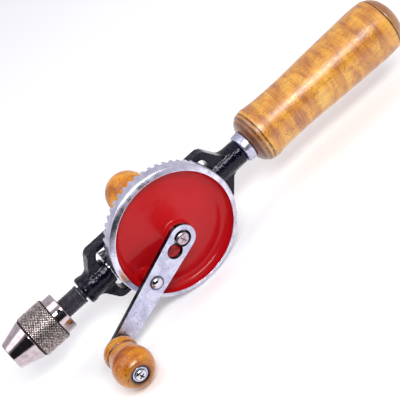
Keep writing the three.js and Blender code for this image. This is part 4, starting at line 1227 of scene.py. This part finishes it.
def chuck_body():
    nose = CHUCK_LOW.x
    nose_radius = 8.35
    rear = CHUCK_HIGH.x
    cone = CHUCK_HIGH.z
    body = 11.7
    sleeve = SLEEVE_LOW.x
    nut_floor = 9.8
    nut_front = sleeve + 0.35
    nut_rear = sleeve + 3.65
    profile = rounded([
        (nose, 0), (nose, nose_radius, 0.5), (sleeve - 0.5, cone, 0.6), (sleeve - 0.1, cone - 0.4),
        (sleeve - 0.1, body), (nut_front, body), (nut_front, nut_floor), (nut_rear, nut_floor),
        (nut_rear, body), (rear, body, 0.7), (rear, 0),
    ], 0.12, 5)
    chuck = lathe(profile, along_spindle, even_angles(192))
    cut(
        chuck,
        rod(along_spindle, nose - 1, SPINDLE_LOW.x, DRILL_RADIUS + 0.2, facets=96),
        rod(along_spindle, SPINDLE_LOW.x - 0.3, rear + 1, THREAD_RADIUS + FIXED_GAP, facets=96),
    )
    for index in range(JAW_COUNT):
        slide = jaw_rod(JAW_RADIUS + GAP, nose - 5, JAW_BORE_END, jaw_turn(index))
        cut(chuck, slide, key_hole(index))
    material = turned_metal("nickel", srgb(196, 182, 187), srgb(164, 149, 152), 0.1, "X", ring_depth=0.003)
    settle(chuck, "chuck_body", "nickel", material, SHADE_BLACK)

    # Painted shade: the bore, the jaws' slides and the key holes get the near-black second material.
    def inside(centre):
        share = min(1, (centre.x - nose) / (sleeve - nose))
        outside = nose_radius + (cone - nose_radius) * share if share < 1 else body
        return nose + 0.1 < centre.x < rear - 0.1 and centre.yz.length < outside - 0.6

    use_second_material(chuck, inside)


def key_hole(index):
    """A blind hole in the collar behind the sleeve, for a bar that holds the chuck still."""
    x = (SLEEVE_HIGH.x + CHUCK_HIGH.x) / 2 + 0.6
    floor = THREAD_RADIUS + 1.6
    hole = rod(along_axle, floor, 14, KEY_HOLE_RADIUS, facets=48)
    turn = math.pi / 2 - KEY_HOLE_ANGLE - index * TAU / JAW_COUNT
    hole.data.transform(Matrix.Translation(Vector((x, 0, 0))) @ Matrix.Rotation(-turn, 4, "X"))
    return hole


def chuck_sleeve():
    """A ring whose outside is covered with raised diamonds, each a pyramid with its top cut off."""
    low = SLEEVE_LOW.x
    high = SLEEVE_HIGH.x
    edge = 0.5
    bore = 11.8
    valley = SLEEVE_HIGH.z - KNURL_DEPTH
    foot = valley - 0.25
    columns = 2 * KNURL_ACROSS
    length = high - low - 2 * edge
    rows = 2 * round(length / (math.pi * valley / KNURL_ACROSS) / 2)
    places = [(row, column) for row in range(rows + 1) for column in range(columns)]
    bm = bmesh.new()
    grid = {}
    for row, column in places:
        if (row + column) % 2 == 0:
            x = low + edge + row * length / rows
            grid[row, column] = bm.verts.new(along_spindle(x, valley, TAU * column / columns))
    diamonds = []
    for row, column in places:
        if (row + column) % 2 == 1:
            before = (column - 1) % columns
            after = (column + 1) % columns
            sides = [(row - 1, column), (row, after), (row + 1, column), (row, before)]
            corners = [grid[place] for place in sides if place in grid]
            face = bm.faces.new(corners)
            if len(corners) == 4:
                diamonds.append(face)
    front_ring, rear_ring = ([grid[row, column] for column in range(0, columns, 2)] for row in (0, rows))
    chain = [front_ring]
    for x, radius in ((low, foot), (low, bore), (high, bore), (high, foot)):
        chain.append([bm.verts.new(along_spindle(x, radius, angle)) for angle in even_angles(KNURL_ACROSS)])
    chain.append(rear_ring)
    for first, second in zip(chain, chain[1:]):
        join_rows(bm, first, second)
    bmesh.ops.recalc_face_normals(bm, faces=bm.faces)
    bmesh.ops.inset_individual(bm, faces=diamonds, thickness=0.3, depth=KNURL_DEPTH)
    settle(new_object(bm), "chuck_sleeve", "knurled_steel", knurled_steel())


def chuck_jaw(index):
    """A slanted rod whose inner side is cut to a wedge that points at the drill bit."""
    low = JAW_LOW.x
    high = JAW_HIGH.x
    reach = 2 * CHUCK_HIGH.z
    corners = [(0, DRILL_RADIUS)]
    for side in (1, -1):
        angle = math.pi / JAW_COUNT * side
        corners.append((reach * math.sin(angle), DRILL_RADIUS + reach * math.cos(angle)))
    turn = jaw_turn(index)

    def sector_point(u, v, x):
        return Matrix.Rotation(turn, 3, "X") @ Vector((x, u, v))

    jaw = jaw_rod(JAW_RADIUS, low - 5, high + 5, turn)
    combine(
        jaw,
        "INTERSECT",
        prism(corners, low, high, sector_point),
        rod(along_spindle, low, high, 11.3, facets=96),
    )
    soften_edges(jaw, 0.12, 2, math.radians(40))
    settle(jaw, f"chuck_jaw_{index + 1}", "bright_steel", BRIGHT_STEEL)


# ---- whole drill ----

# Near-black steel painted on as shade: the crank arm's sides and hole walls, the screw's slots and the
# chuck's holes.
SHADE_BLACK = dark_steel("painted_shade_black", srgb(26, 26, 40), srgb(12, 12, 18))
BRIGHT_STEEL = turned_metal("bright_steel", srgb(214, 214, 222), srgb(176, 176, 188), 0.08, "Y")
PLAIN_ZINC = zinc("small_zinc", blotch=2)


def build_drill():
    cast_frame()
    handle_grip()
    handle_ferrule()
    drive_wheel()
    wheel_axle()
    crank_arm()
    crank_rivet()
    crank_knob()
    knob_screw()
    knob_nut()
    side_knob()
    spindle()
    pinion()
    pinion_pin()
    chuck_body()
    chuck_sleeve()
    for index in range(JAW_COUNT):
        chuck_jaw(index)
    washer("nose_washer", along_spindle, SPINDLE_RADIUS + GAP)
    washer("thrust_washer", along_spindle, SPINDLE_TAIL_RADIUS + GAP)
    washer("hub_washer", along_axle, AXLE_RADIUS + GAP)
    washer("axle_washer", along_axle, AXLE_NECK_RADIUS + GAP)
    washer("knob_washer", along_axle, SCREW_RADIUS + FIXED_GAP, PLAIN_ZINC, "zinc", CRANK_END)
    hidden_steel = dark_steel()
    for node in ("handle_tang", "side_knob_stud", "chuck_nut_half_1", "chuck_nut_half_2"):
        mesh = frame["nodes"][node].data
        mesh.materials.clear()
        mesh.materials.append(hidden_steel)


# ---- studio ----

CAMERA_AZIMUTH = math.radians(9.45)
CAMERA_ELEVATION = math.radians(34.4)
CAMERA_ROLL = math.radians(36.8)
CAMERA_DISTANCE = 0.678
CAMERA_TARGET = Vector((-0.0094, 0, -0.007))
CAMERA_LENS = 108
DARK_SIDE = Vector((-0.35, -0.87, 0.3))
FLOOR_HALF = 3
FLOOR_GAP = 0.0005


def aim(obj, place, direction, roll=0):
    """Puts a camera or light at a place, looking along a direction."""
    obj.location = place
    obj.rotation_mode = "QUATERNION"
    obj.rotation_quaternion = direction.to_track_quat("-Z", "Y") @ Quaternion((0, 0, 1), -roll)


def camera():
    data = bpy.data.cameras.new("camera")
    data.lens = CAMERA_LENS
    flat = math.cos(CAMERA_ELEVATION)
    look = Vector((
        flat * math.sin(CAMERA_AZIMUTH), flat * math.cos(CAMERA_AZIMUTH), -math.sin(CAMERA_ELEVATION),
    ))
    obj = add_to_scene("camera", data)
    aim(obj, CAMERA_TARGET - look * CAMERA_DISTANCE, look, CAMERA_ROLL)
    bpy.context.scene.camera = obj


def softbox(name, direction, distance, width, height, power):
    """A rectangular light that faces the drill from a direction."""
    data = bpy.data.lights.new(name, "AREA")
    data.shape = "RECTANGLE"
    data.size = width
    data.size_y = height
    data.energy = power
    direction = Vector(direction).normalized()
    aim(add_to_scene(name, data), direction * distance, -direction)


def surroundings():
    """A pale room for reflections, dark round the camera, and white where the camera sees it."""
    world = bpy.data.worlds.new("studio")
    bpy.context.scene.world = world
    s = Nodes(world)
    inputs = {0: s.add("ShaderNodeTexCoord").outputs["Generated"], 1: DARK_SIDE.normalized()}
    facing = s.add("ShaderNodeVectorMath", inputs, operation="DOT_PRODUCT").outputs["Value"]
    room = s.ramp(facing, (0.55, (0.74, 0.73, 0.78, 1)), (0.8, (0.02, 0.018, 0.022, 1)))
    seen = s.add("ShaderNodeLightPath").outputs["Is Camera Ray"]
    s.feed(s.tree.nodes["Background"].inputs["Color"], s.mix(seen, room, (1, 1, 1, 1)))


def floor():
    bm = bmesh.new()
    height = cad_bounds[0].z - FLOOR_GAP
    corners = [(-1, -1), (1, -1), (1, 1), (-1, 1)]
    bm.faces.new([bm.verts.new((x * FLOOR_HALF, y * FLOOR_HALF, height)) for x, y in corners])
    obj = new_object(bm, "floor")
    material = Shader("pale_floor").finish(
        base_color=(0.9, 0.9, 0.9, 1),
        roughness=0.8,
        emission_color=(1, 1, 1, 1),
        emission_strength=0.08,
    )
    obj.data.materials.append(material)


def studio():
    floor()
    surroundings()
    softbox("key", (0.05, -0.72, 0.76), 0.8, 0.6, 0.15, 5.2)
    softbox("overhead", (-0.33, 0.05, 0.9), 0.96, 0.6, 0.85, 2.7)
    camera()
    bpy.context.scene.view_settings.view_transform = "Standard"


build_drill()
studio()
